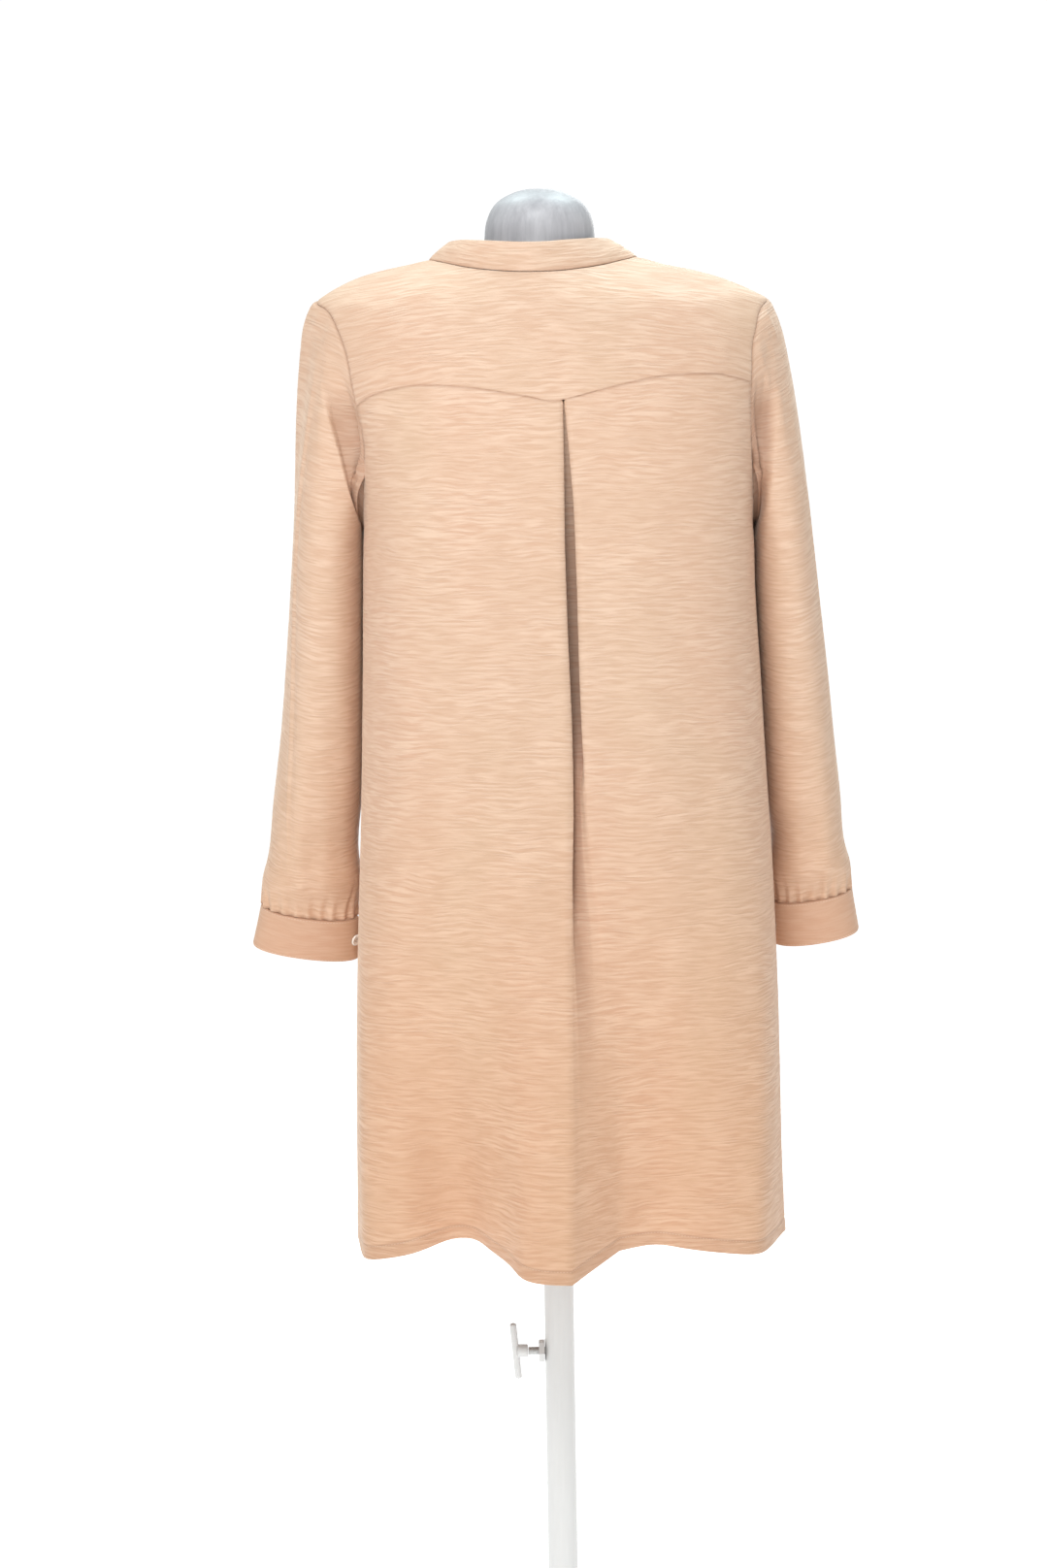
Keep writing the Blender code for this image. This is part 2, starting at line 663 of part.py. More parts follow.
# Back panel: upper rows to the underarm, then rows that open out into the hem folds
def build_back():
    low_rows = len(back_levels)
    columns = left_cells + right_cells + pleat_cells + 1
    rows = back_rows + low_rows + 2
    grid = np.zeros((rows + 1, columns, 3))
    hems = {1: hem_path(hem_left, left_cells + 1),
            -1: hem_path(hem_right, right_cells + 1)[::-1]}
    patches = {}
    section = pleat_section(underarm_height)
    inner = {1: section[0][0], -1: section[-1][0]}
    for side in (1, -1):
        angle, z = seams[side]
        cells = len(angle) - 1
        low = np.linspace(side * math.pi / 2, angle_at(inner[side], underarm_height), cells + 1)
        outer = armhole_part(side, "back", z[0], underarm_height, back_rows + 1)
        patches[side] = patch((angle, z), (low, np.full(cells + 1, underarm_height)),
                              outer, back_rows)
    for k in range(rows + 1):
        sides = {}
        if k <= back_rows:
            for side in (1, -1):
                angle = patches[side][0][k].copy()
                z = patches[side][1][k]
                fold_x = pleat_section(z[-1])[0 if side > 0 else -1][0]
                shift = angle_at(fold_x, z[-1]) - angle[-1]
                angle = angle + shift * np.linspace(0, 1, len(angle)) ** 2
                sides[side] = (body_point(angle, z), angle, z, None)
        else:
            step = k - back_rows
            for side in (1, -1):
                hem = hems[side]
                if step <= low_rows:
                    reach = (underarm_height - back_levels[step - 1])
                    reach /= underarm_height - back_levels[-1]
                    low = hem[:, 2] + hem_height + hem_turn
                    z = underarm_height + (low - underarm_height) * reach
                elif step == low_rows + 1:
                    z = hem[:, 2] + hem_height
                else:
                    z = hem[:, 2]
                cells = len(hem) - 1
                fold_x = pleat_section(z[-1])[0 if side > 0 else -1][0]
                end = angle_at(fold_x, z[-1])
                angle = np.linspace(side * math.pi / 2, end, cells + 1)
                base = body_point(angle, z)
                amount = fold_amount(z, back_fold_start, hem_level)[:, None]
                target = np.stack([hem[:, 0], hem[:, 1], z], -1)
                target[0] = base[0]
                sides[side] = (base + (target - base) * amount, angle, z, amount)
        left = sides[1][0]
        right = sides[-1][0]
        z_left = sides[1][2][-1]
        z_right = sides[-1][2][-1]
        across = pleat_section((z_left + z_right) / 2)
        middle = []
        for i, (x, depth) in enumerate(across[1:-1], 1):
            t = i / pleat_cells
            z = z_left + (z_right - z_left) * t
            angle = angle_at(x, z)
            spot = body_point(angle, z) + body_normal(angle, z) * depth
            if sides[1][3] is not None:
                amount = float(fold_amount(z, back_fold_start, hem_level))
                target = hems[1][-1] + (hems[-1][-1] - hems[1][-1]) * t
                target[2] = z
                spot = spot + (target - spot) * amount
            middle.append(spot)
        grid[k] = np.concatenate([left, np.array(middle), right[::-1]])
    along = np.gradient(grid, axis=0)
    across = np.gradient(grid, axis=1)
    normal = unit(np.cross(along, across))
    normal[0, :left_cells] = body_normal(*seams[1])[:-1]
    normal[0, -right_cells:] = body_normal(*seams[-1])[:-1][::-1]
    for k in range(back_rows + 1):
        for side, column in ((1, 0), (-1, columns - 1)):
            normal[k, column] = body_normal(patches[side][0][k][0], patches[side][1][k][0])
    side_seam_normals(grid, normal, back_rows)
    return grid, normal


back_grid, back_normal = build_back()
back_low = back_grid.copy()
seam_shift = edge_direction(yoke_points[-1], yoke_points[-2], yoke_normals[-1]) * seam_gap / 2
back_low[0, :left_cells + 1] -= seam_shift[:left_cells + 1]
back_low[0, left_cells + 1:-right_cells - 1] -= seam_shift[left_cells]
back_low[0, -right_cells - 1:] -= seam_shift[left_cells + 1:]
back_low[back_rows:, (0, -1), 1] += seam_gap / 2
inside = np.full(back_grid.shape[:2], cloth_wall / 2)
inside[-2:] = hem_wall - cloth_wall / 2
sheet("back_panel", back_low, back_normal, grid_faces(*back_grid.shape[:2]), inward=inside)


# Front panel with a notch at the neck
def build_front():
    rows = front_rows + front_low_rows + 2
    columns = 2 * (front_cells + 1)
    grid = np.zeros((rows + 1, columns, 3))
    normal = np.zeros_like(grid)
    hem = hem_path(hem_front, 2 * front_cells + 2)
    patches = {}
    for side in (1, -1):
        first = shoulder_line(side, front_shoulder_cells + 1)
        second = neck_line(side, "front", neck_middle + side * notch_half_top,
                           front_cells - front_shoulder_cells + 1)
        top = [np.concatenate([first[i], second[i][1:]]) for i in (0, 1)]
        end = side * (math.pi - notch_half_low / front_reach)
        low = (np.linspace(side * math.pi / 2, end, front_cells + 1),
               np.full(front_cells + 1, underarm_height))
        tip = tip_height_left if side > 0 else tip_height_right
        outer = armhole_part(side, "front", tip, underarm_height, front_rows + 1, 1.1)
        across, height = patch_across(side, "front", top, low, outer, front_rows, ridge_power)
        around, level = patch(top, low, outer, front_rows, ridge_power)
        fade = np.clip(np.linspace(-0.35, 1.25, front_rows + 1), 0, 1)[:, None]
        fade = fade * fade * (3 - 2 * fade)
        patches[side] = (across + (around - across) * fade, height + (level - height) * fade)
    for k in range(rows + 1):
        parts = []
        for side in (1, -1):
            if k <= front_rows:
                angle = patches[side][0][k]
                z = patches[side][1][k]
                spots = body_point(angle, z)
                out = body_normal(angle, z)
            else:
                step = k - front_rows
                line = hem[:front_cells + 1] if side > 0 else hem[front_cells + 1:][::-1]
                if step <= front_low_rows:
                    low = line[:, 2] + hem_height + hem_turn
                    z = underarm_height + (low - underarm_height) * step / front_low_rows
                elif step == front_low_rows + 1:
                    z = line[:, 2] + hem_height
                else:
                    z = line[:, 2]
                spread = 1 + step / front_low_rows
                end = side * (math.pi - notch_half_low / front_reach * spread)
                angle = np.linspace(side * math.pi / 2, end, front_cells + 1)
                base = body_point(angle, z)
                amount = fold_amount(z, front_fold_start, hem_level)[:, None]
                target = np.stack([line[:, 0], line[:, 1], z], -1)
                target[0] = base[0]
                spots = base + (target - base) * amount
                out = np.zeros_like(spots)
            parts.append((spots, out))
        grid[k] = np.concatenate([parts[0][0], parts[1][0][::-1]])
        normal[k] = np.concatenate([parts[0][1], parts[1][1][::-1]])
    along = np.gradient(grid, axis=0)
    across = np.gradient(grid, axis=1)
    free = unit(np.cross(along, across))
    free *= np.sign(np.sum(free[front_rows, 3] * normal[front_rows, 3]))
    normal[front_rows + 1:] = free[front_rows + 1:]
    side_seam_normals(grid, normal, front_rows)
    open_rows = [k for k in range(front_rows) if grid[k + 1, front_cells, 2] > notch_height]
    return grid, normal, {(k, front_cells) for k in open_rows}


front_grid, front_normal, notch_cells = build_front()
front_low = front_grid.copy()
front_low[0, :front_shoulder_cells + 1, 1] -= seam_gap / 2
front_low[0, -front_shoulder_cells - 1:, 1] -= seam_gap / 2
front_low[front_rows:, (0, -1), 1] -= seam_gap / 2
inside = np.full(front_grid.shape[:2], cloth_wall / 2)
inside[-2:] = hem_wall - cloth_wall / 2
sheet("front_panel", front_low, front_normal,
      grid_faces(*front_grid.shape[:2], skip=notch_cells), inward=inside)


# Collar band: stands on the neck seam, open over the notch, leaning in
def build_collar():
    left_front = front_grid[0, front_shoulder_cells:front_cells + 1]
    left_front_n = front_normal[0, front_shoulder_cells:front_cells + 1]
    right_front = front_grid[0, front_cells + 1:-front_shoulder_cells]
    right_front_n = front_normal[0, front_cells + 1:-front_shoulder_cells]
    behind = yoke_points[0, left_shoulder_cells:yoke_points.shape[1] - right_shoulder_cells]
    behind_n = yoke_normals[0, left_shoulder_cells:yoke_points.shape[1] - right_shoulder_cells]
    loop = np.concatenate([left_front[::-1], behind[1:-1], right_front[::-1]])
    normals = np.concatenate([left_front_n[::-1], behind_n[1:-1], right_front_n[::-1]])
    along = unit(np.gradient(loop, axis=0))
    up = unit(np.cross(along, normals))
    up *= np.sign(up[len(up) // 2, 2])
    base = loop + up * seam_gap
    across = loop[:, 0] - neck_middle
    side = np.clip(np.abs(across) / collar["half"], 0, 1)
    rear = loop[:, 1] > 0
    rise = np.where(rear, collar["back_rise"], collar["front_rise"])
    rise = rise + (collar["side_rise"] - rise) * side ** 3
    depth = loop[:, 1] * np.where(rear, collar["back"], collar["front"])
    top = np.stack([collar["top_middle"] + across * collar["width"], depth, loop[:, 2] + rise], -1)
    rows = [base]
    for t, swell in ((0.2, 0.0008), (0.55, 0.0012), (1.0, 0.0)):
        rows.append(base + (top - base) * t + unit(loop * (1, 1, 0)) * swell)
    grid = np.array(rows)
    normal = grid_normals(grid)
    normal *= np.sign(np.sum(normal[2, len(loop) // 2] * (0, 1, 0)))
    normal[0] = normals
    return grid, normal


collar_grid, collar_normal = build_collar()
sheet("collar", collar_grid, collar_normal, grid_faces(*collar_grid.shape[:2]), wall=band_wall)


# Oval cuff frame: across, back and up directions
def cuff_frame(side):
    sizes = cuff[side]
    splay = math.radians(sizes["splay"])
    lean = math.radians(sizes["lean"])
    across = np.array([math.cos(splay) * side, 0, math.sin(splay)])
    back = np.array([0, math.cos(lean), -math.sin(lean)])
    up = unit(np.cross(across, back)) * side
    back = unit(np.cross(up, across)) * side
    return np.array([sizes["x"] * side, sizes["y"], sizes["z"]]), across, back, up


def oval(angle, half, depth, square):
    s = np.sin(angle)
    c = np.cos(angle)
    reach = (np.abs(s) ** square + np.abs(c) ** square) ** (-1 / square)
    return half * c * reach, depth * s * reach


def oval_normal(angle, half, depth, square):
    x0, y0 = oval(angle - 0.003, half, depth, square)
    x1, y1 = oval(angle + 0.003, half, depth, square)
    length = np.hypot(x1 - x0, y1 - y0)
    return (y1 - y0) / length, -(x1 - x0) / length


# Sleeve: armhole ring, head, hanging tube, then gathers into the cuff
def build_sleeve(side):
    name = "left" if side > 0 else "right"
    rows = sleeve_left_rows if side > 0 else sleeve_right_rows
    column = 0 if side > 0 else -1
    loop = np.concatenate([yoke_points[:, column], back_grid[1:back_rows + 1, column],
                           front_grid[1:front_rows, column][::-1]])
    normals = np.concatenate([yoke_normals[:, column], back_normal[1:back_rows + 1, column],
                              front_normal[1:front_rows, column][::-1]])
    ahead = np.roll(loop, -1, axis=0) - loop
    behind = loop - np.roll(loop, 1, axis=0)
    along = unit(unit(ahead) + unit(behind))
    out = unit(np.cross(along, normals))
    middle = loop.mean(axis=0)
    if np.sum(out * (middle - loop)) < 0:
        out = -out
    ring = loop + out * seam_gap
    count = len(loop)
    turn = np.linspace(0, 2 * math.pi, count, endpoint=False)
    lengths = np.linalg.norm(np.roll(loop, -1, axis=0) - loop, axis=1)
    half_back = np.cumsum(np.concatenate([[0], lengths[:front_rows]]))
    half_front = np.cumsum(np.concatenate([[0], lengths[front_rows:]]))
    turn[:front_rows + 1] = half_back / half_back[-1] * math.pi
    turn[front_rows:] = math.pi + half_front[:-1] / half_front[-1] * math.pi

    def tube(z, at):
        outer = read(rows, "outer", z)
        inner = read(rows, "inner", z)
        x, y = oval(at, (outer - inner) / 2, read(rows, "half_depth", z), sleeve_square)
        return np.stack([side * ((outer + inner) / 2 + x), read(rows, "y", z) + y, z + 0 * x], -1)

    first = tube(head_low, turn)
    down = unit(tube(head_low - 0.030, turn) - first)
    span = np.linalg.norm(first - ring, axis=1)[:, None]
    fold = 0.5 - np.sum(out * unit(first - ring), axis=1)[:, None] / 2
    fold = np.clip((fold - 0.36) / 0.4, 0, 1)
    fold = fold * fold * (3 - 2 * fold)
    aside = np.clip(fold * 1.7, 0, 1)
    begin = ring + out * (crest["start"] - crest["start_fold"] * aside)
    begin = begin + normals * crest["start_up"] * aside
    leave = out * sleeve_head[side] * (1 - fold) + down * 0.5 * fold
    grid = [ring, ring + out * crest["out"] + normals * crest["up"] * aside]
    for k in range(head_cells + 1):
        t = (k / head_cells) ** 1.15
        t2 = t * t
        t3 = t2 * t
        spots = (2 * t3 - 3 * t2 + 1) * begin + (3 * t2 - 2 * t3) * first
        spots = spots + (t3 - 2 * t2 + t) * leave * span
        spots = spots + (t3 - t2) * down * span * 0.9
        grid.append(spots)
    low = rows["z"][0]
    for z in (*hanging_levels, low):
        grid.append(tube(z, turn))
    upper = np.array(grid)

    middle, across, back, up = cuff_frame(side)
    sizes = cuff[side]
    fine = np.interp(np.arange(gather_cells) / 2, np.arange(count + 1),
                     np.append(turn, 2 * math.pi))
    start = tube(low, fine)
    start[::2] = upper[-1]
    x, y = oval(fine, sizes["half"], sizes["depth"], cuff_square)
    goal = middle + x[:, None] * across + y[:, None] * back + up * seam_gap
    nx, ny = oval_normal(fine, sizes["half"], sizes["depth"], cuff_square)
    away = nx[:, None] * across + ny[:, None] * back
    wave = np.cos(np.arange(gather_cells) * 2 * math.pi * gather_count / gather_cells)
    wave = wave * (1 + 0.3 * np.sin(3 * fine + 0.8))
    lower = []
    for t in (0.0, 0.38, 0.70, 0.90, 1.0):
        ease = t * t * (3 - 2 * t)
        spots = start + (goal - start) * ease
        spots[:, 2] = (start + (goal - start) * t)[:, 2]
        swell = 0.0025 * math.sin(math.pi * min(t * 1.15, 1.0)) ** 2
        size = gather_depth * max(0.0, (t - 0.15) / 0.85) ** 1.1
        lower.append(spots + away * (swell + size * wave[:, None]))
    lower = np.array(lower)
    upper_normal = grid_normals(upper, wrap=True)
    lower_normal = grid_normals(lower, wrap=True)
    facing = np.sum(upper_normal[8, 0] * (side, 0, 0))
    upper_normal *= np.sign(facing)
    lower_normal *= np.sign(np.sum(lower_normal[2, 0] * (side, 0, 0)))
    upper_normal[0] = normals
    lower_normal[-1] = away
    lower_normal[0, ::2] = upper_normal[-1]

    upper_count = len(upper)
    faces = grid_faces(upper_count, count, wrap=True)
    points = list(upper.reshape(-1, 3))
    out_normals = list(upper_normal.reshape(-1, 3))
    base = len(points)
    points += list(lower[1:].reshape(-1, 3))
    out_normals += list(lower_normal[1:].reshape(-1, 3))
    last = (upper_count - 1) * count
    for j in range(count):
        a = last + j
        b = last + (j + 1) % count
        p = base + 2 * j
        q = base + 2 * j + 1
        r = base + (2 * j + 2) % gather_cells
        faces += [(a, q, p), (a, b, q), (b, r, q)]
    for k in range(3):
        for j in range(gather_cells):
            n = (j + 1) % gather_cells
            row = base + k * gather_cells
            faces.append((row + j, row + n, row + gather_cells + n, row + gather_cells + j))
    sheet("sleeve_" + name, np.array(points), np.array(out_normals), faces)


# Cuff: a band whose end laps over its start, with one button
def build_cuff(side):
    name = "left" if side > 0 else "right"
    middle, across, back, up = cuff_frame(side)
    sizes = cuff[side]
    cells = 34
    turn = np.radians(np.linspace(lap_start, 360 + lap_end, cells + 1))
    lapped = np.clip((np.degrees(turn) - 300 - 10) / (360 + lap_start - 310 - 6), 0, 1)
    offset = lap_rise * lapped * lapped * (3 - 2 * lapped)
    grid = []
    normal = []
    for t in (0.0, 0.5, 1.0):
        half = sizes["half"] + (sizes["half_low"] - sizes["half"]) * t
        depth = sizes["depth"] + (sizes["depth_low"] - sizes["depth"]) * t
        x, y = oval(turn, half, depth, cuff_square)
        nx, ny = oval_normal(turn, half, depth, cuff_square)
        away = nx[:, None] * across + ny[:, None] * back
        grid.append(middle + x[:, None] * across + y[:, None] * back - up * cuff_height * t
                    + away * offset[:, None])
        normal.append(away)
    sheet("cuff_" + name, np.array(grid), np.array(normal), grid_faces(3, cells + 1),
          wall=band_wall)
    half = (sizes["half"] + sizes["half_low"]) / 2
    depth = (sizes["depth"] + sizes["depth_low"]) / 2
    at = math.radians(button_angle)
    x, y = oval(at, half, depth, cuff_square)
    nx, ny = oval_normal(at, half, depth, cuff_square)
    away = nx * across + ny * back
    spot = middle + x * across + y * back - up * cuff_height / 2
    inner = lap_rise + band_wall / 2 + seam_gap
    beside = unit(np.cross(up, away))
    rings = ((inner, 0.0038), (inner + 0.0006, button_radius),
             (inner + button_thick - 0.0006, button_radius), (inner + button_thick, 0.0046))
    verts = []
    for reach, radius in rings:
        for i in range(16):
            a = 2 * math.pi * i / 16
            verts.append(spot + away * reach
                         + (beside * math.cos(a) + up * math.sin(a)) * radius)
    faces = [tuple(range(15, -1, -1))]
    for k in range(3):
        for i in range(16):
            n = (i + 1) % 16
            faces.append((k * 16 + i, k * 16 + n, k * 16 + 16 + n, k * 16 + 16 + i))
    faces.append(tuple(range(48, 64)))
    turning = np.dot(np.cross(beside, up), away)
    if turning < 0:
        faces = [tuple(reversed(f)) for f in faces]
    make("cuff_button_" + name, np.array(verts), faces, button_colour, 0.35)


for side in (1, -1):
    build_sleeve(side)
    build_cuff(side)


# Padded form with a socket for the tube in its flat underside
def build_form():
    turn = np.linspace(0, 2 * math.pi, form_cells, endpoint=False)
    s = np.sin(turn)
    c = np.cos(turn)
    rows = [tuple(form[name][i] for name in form) for i in range(len(form["z"]))]
    rows = [row + (row[-1],) for row in rows]
    for z in form_seat_heights:
        above = z + form_below_cloth
        half = min(float(read(body, "half", above)), form_widest)
        rows.append((z, float(read(body, "centre", above)), half,
                     float(read(body, "back", above)) * form_back_share,
                     float(read(body, "front", above)) * form_front_share,
                     float(read(body, "back_square", above)),
                     float(read(body, "front_square", above))))
    rows.sort(key=lambda row: -row[0])
    rings = []
    for z, centre, half, back, front, back_square, front_square in rows:
        square = np.where(c >= 0, back_square, front_square)
        depth = np.where(c >= 0, back, front)
        reach = (np.abs(s) ** square + np.abs(c) ** square) ** (-1 / square)
        rings.append(np.stack([centre + half * s * reach, depth * c * reach, z + 0 * s], -1))
    for radius, z in ((underside_ring, form_low), (socket_radius, form_low), (socket_radius, socket_top)):
        rings.append(np.stack([radius * s - neck_to_pole, radius * c, z + 0 * s], -1))
    verts = np.concatenate(rings)
    verts = np.concatenate([verts, [[form["centre"][0], 0, form_top]],
                            [[-neck_to_pole, 0, socket_top]]])
    faces = []
    for k in range(len(rings) - 1):
        for j in range(form_cells):
            n = (j + 1) % form_cells
            faces.append((k * form_cells + j, k * form_cells + n,
                          (k + 1) * form_cells + n, (k + 1) * form_cells + j))
    crown = len(verts) - 2
    last = (len(rings) - 1) * form_cells
    for j in range(form_cells):
        n = (j + 1) % form_cells
        faces.append((crown, n, j))
        faces.append((last + j, last + n, crown + 1))
    make("form_torso", verts, faces, form_colour, 0.45, sharp=40)


build_form()


# Turned pieces of the stand, all on the pole's axis
def turned(name, profile, cells, colour, roughness, metallic, closed=True):
    verts = []
    faces = []
    for radius, z in profile:
        for j in range(cells):
            a = 2 * math.pi * j / cells
            verts.append((radius * math.cos(a) - neck_to_pole, radius * math.sin(a), z))
    count = len(profile)
    for k in range(count if closed else count - 1):
        m = (k + 1) % count
        for j in range(cells):
            n = (j + 1) % cells
            faces.append((k * cells + j, k * cells + n, m * cells + n, m * cells + j))
    if not closed:
        faces.append(tuple(range(cells - 1, -1, -1)))
        faces.append(tuple(range((count - 1) * cells, count * cells)))
    return make(name, verts, faces, colour, roughness, metallic, sharp=35)


turned("base_plate", ((base_radius - 0.002, 0.0), (base_radius, 0.002),
                      (base_radius, base_thick - 0.002), (base_radius - 0.002, base_thick)),
       48, paint_colour, 0.4, 0.0, closed=False)
hub_low = base_thick + seam_gap
turned("base_hub", ((tube_radius + seam_gap, hub_low), (hub_radius, hub_low),
                    (hub_radius, hub_low + 0.006), (tube_radius + 0.005, hub_low + hub_height),
                    (tube_radius + seam_gap, hub_low + hub_height)),
       32, paint_colour, 0.4, 0.0)
outer_tube = turned("outer_tube", ((tube_bore, hub_low), (tube_radius, hub_low),
                                   (tube_radius, tube_top), (tube_bore, tube_top)),
                    32, paint_colour, 0.4, 0.0)
turned("inner_tube", ((inner_bore, inner_low), (inner_radius, inner_low),
                      (inner_radius, inner_top), (inner_bore, inner_top)),
       32, steel_colour, 0.3, 0.9)


# The clamp screw goes through the tube's wall on its +X side
def sideways(name, start, end, radius, cells, colour, roughness, metallic):
    bpy.ops.mesh.primitive_cylinder_add(
        vertices=cells, radius=radius, depth=end - start,
        location=((start + end) / 2, 0, clamp_height), rotation=(0, math.pi / 2, 0))
    made = bpy.context.object
    made.name = name
    made.data.name = name
    made.data.materials.append(material(name, colour, roughness, metallic))
    return made


def cut(target, tool):
    tool.hide_render = True
    tool.display_type = "WIRE"
    step = target.modifiers.new("hole", "BOOLEAN")
    step.operation = "DIFFERENCE"
    step.solver = "EXACT"
    step.object = tool


def join(target, tool):
    tool.hide_render = True
    tool.display_type = "WIRE"
    step = target.modifiers.new("joined", "BOOLEAN")
    step.operation = "UNION"
    step.solver = "EXACT"
    step.object = tool


hole = sideways("clamp_hole", 0.004, 0.030, screw_radius + seam_gap, 20, steel_colour, 0.3, 0.9)
cut(outer_tube, hole)
nut_start = tube_radius + seam_gap
nut = sideways("clamp_nut", nut_start, nut_start + nut_thick, nut_radius, 6,
               paint_colour, 0.4, 0.0)
cut(nut, hole)
sideways("clamp_screw", inner_radius + seam_gap, handle_start - seam_gap, screw_radius, 20,
         steel_colour, 0.3, 0.9)
handle = sideways("clamp_handle", handle_start, handle_end, handle_radius, 20,
                  paint_colour, 0.4, 0.0)
bpy.ops.mesh.primitive_cylinder_add(
    vertices=16, radius=bar_radius, depth=bar_length,
    location=(handle_end + 0.0016, 0, clamp_height), rotation=(0, bar_tilt, 0))
bar = bpy.context.object
bar.name = "handle_bar"
join(handle, bar)
for made in bpy.context.scene.objects:
    if made.name in ("clamp_screw", "clamp_nut", "clamp_handle"):
        made.data.shade_smooth()
        made.data.set_sharp_from_angle(angle=math.radians(40))
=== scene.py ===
import math

import bpy
import numpy as np
from mathutils import Euler, Matrix, Vector


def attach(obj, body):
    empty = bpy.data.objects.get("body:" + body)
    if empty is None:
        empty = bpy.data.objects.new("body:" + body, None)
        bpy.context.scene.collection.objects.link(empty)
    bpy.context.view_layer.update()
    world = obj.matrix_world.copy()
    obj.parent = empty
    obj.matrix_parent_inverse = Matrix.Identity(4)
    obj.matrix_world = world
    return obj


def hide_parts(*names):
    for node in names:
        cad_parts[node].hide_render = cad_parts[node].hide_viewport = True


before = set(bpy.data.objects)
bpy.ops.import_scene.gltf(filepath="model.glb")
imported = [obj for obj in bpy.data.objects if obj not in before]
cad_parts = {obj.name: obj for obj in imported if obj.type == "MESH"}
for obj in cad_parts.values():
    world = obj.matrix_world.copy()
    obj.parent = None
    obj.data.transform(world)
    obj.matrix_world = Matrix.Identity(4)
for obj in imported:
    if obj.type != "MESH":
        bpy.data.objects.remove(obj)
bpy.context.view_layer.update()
print("frame loaded:", len(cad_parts), "nodes")

# The blouse's shape is worked out as in the solids, then drawn much finer.
# Metres, front towards -Y; side-to-side sizes run from the middle of the form's neck.
neckToPole = 0.002
samples = {"armhole": 400, "edge": 200, "hem": 300}  # points along a curve before it is spaced out


def table(columns, rows):
    data = np.array(rows, float)
    return {name: data[:, i] for i, name in enumerate(columns.split())}


def flow(xs, ys, at):  # a curve through rows that never swings past them
    order = np.argsort(xs)
    xs = np.asarray(xs, float)[order]
    ys = np.asarray(ys, float)[order]
    step = np.diff(xs)
    slope = np.diff(ys) / step
    tangent = np.zeros(len(xs))
    tangent[0] = slope[0]
    tangent[-1] = slope[-1]
    for i in range(1, len(xs) - 1):
        if slope[i - 1] * slope[i] > 0:
            before = 2 * step[i] + step[i - 1]
            after = step[i] + 2 * step[i - 1]
            tangent[i] = (before + after) / (before / slope[i - 1] + after / slope[i])
    at = np.clip(np.asarray(at, float), xs[0], xs[-1])
    cell = np.clip(np.searchsorted(xs, at) - 1, 0, len(step) - 1)
    t = (at - xs[cell]) / step[cell]
    t2 = t * t
    t3 = t2 * t
    value = (2 * t3 - 3 * t2 + 1) * ys[cell] + (3 * t2 - 2 * t3) * ys[cell + 1]
    value += (t3 - 2 * t2 + t) * step[cell] * tangent[cell]
    return value + (t3 - t2) * step[cell] * tangent[cell + 1]


def spline(xs, ys, at):  # a curve with no kinks through points, all columns at once
    n = len(xs)
    h = np.diff(xs)
    slope = np.diff(ys, axis=0) / h[:, None]
    system = np.zeros((n, n))
    system[0, 0] = system[-1, -1] = 1
    right = np.zeros_like(ys)
    for i in range(1, n - 1):
        system[i, i - 1:i + 2] = h[i - 1], 2 * (h[i - 1] + h[i]), h[i]
        right[i] = 6 * (slope[i] - slope[i - 1])
    second = np.linalg.solve(system, right)
    cell = np.clip(np.searchsorted(xs, at) - 1, 0, n - 2)
    width = h[cell][:, None]
    a = (xs[cell + 1] - at)[:, None]
    b = (at - xs[cell])[:, None]
    value = (second[cell] * a ** 3 + second[cell + 1] * b ** 3) / (6 * width)
    value += (ys[cell] / width - second[cell] * width / 6) * a
    return value + (ys[cell + 1] / width - second[cell + 1] * width / 6) * b


def unit(v):
    return v / np.maximum(np.linalg.norm(v, axis=-1, keepdims=True), 1e-12)


def ease(t):
    t = np.clip(t, 0, 1)
    return t * t * (3 - 2 * t)


# Rings of the worn body: half width at the sides, depth behind and in front
body = table("z centre half back front backSquare frontSquare", (
    (0.5400, -0.0152, 0.2013, 0.131, 0.133, 2.80, 2.40),
    (0.6260, -0.0142, 0.1972, 0.130, 0.130, 2.85, 2.40),
    (0.7630, -0.0144, 0.1932, 0.129, 0.127, 2.90, 2.40),
    (0.8980, -0.0146, 0.1884, 0.128, 0.125, 2.90, 2.40),
    (0.9870, -0.0137, 0.1845, 0.127, 0.124, 2.90, 2.40),
    (1.0750, -0.0128, 0.1807, 0.126, 0.124, 2.90, 2.40),
    (1.1630, -0.0117, 0.1771, 0.125, 0.126, 2.90, 2.40),
    (1.2080, -0.0120, 0.1756, 0.124, 0.127, 2.90, 2.40),
    (1.2760, -0.0123, 0.1790, 0.1225, 0.1235, 2.85, 2.35),
    (1.3200, -0.0090, 0.1885, 0.119, 0.113, 2.65, 2.25),
    (1.3600, -0.0060, 0.2020, 0.1125, 0.0985, 2.30, 2.10),
    (1.3900, -0.0030, 0.2080, 0.105, 0.085, 1.95, 1.90),
    (1.4110, 0.0010, 0.2040, 0.097, 0.075, 1.62, 1.65),
    (1.4196, 0.0045, 0.1900, 0.092, 0.070, 1.48, 1.52),
    (1.4273, 0.0067, 0.1745, 0.087, 0.066, 1.38, 1.42),
    (1.4362, 0.0105, 0.1490, 0.080, 0.061, 1.30, 1.35),
    (1.4407, 0.0120, 0.1300, 0.076, 0.0585, 1.28, 1.33),
    (1.4443, 0.0110, 0.1135, 0.072, 0.0565, 1.28, 1.33),
    (1.4490, 0.0071, 0.0933, 0.066, 0.053, 1.28, 1.33),
    (1.4530, 0.0070, 0.0760, 0.060, 0.050, 1.28, 1.33),
))

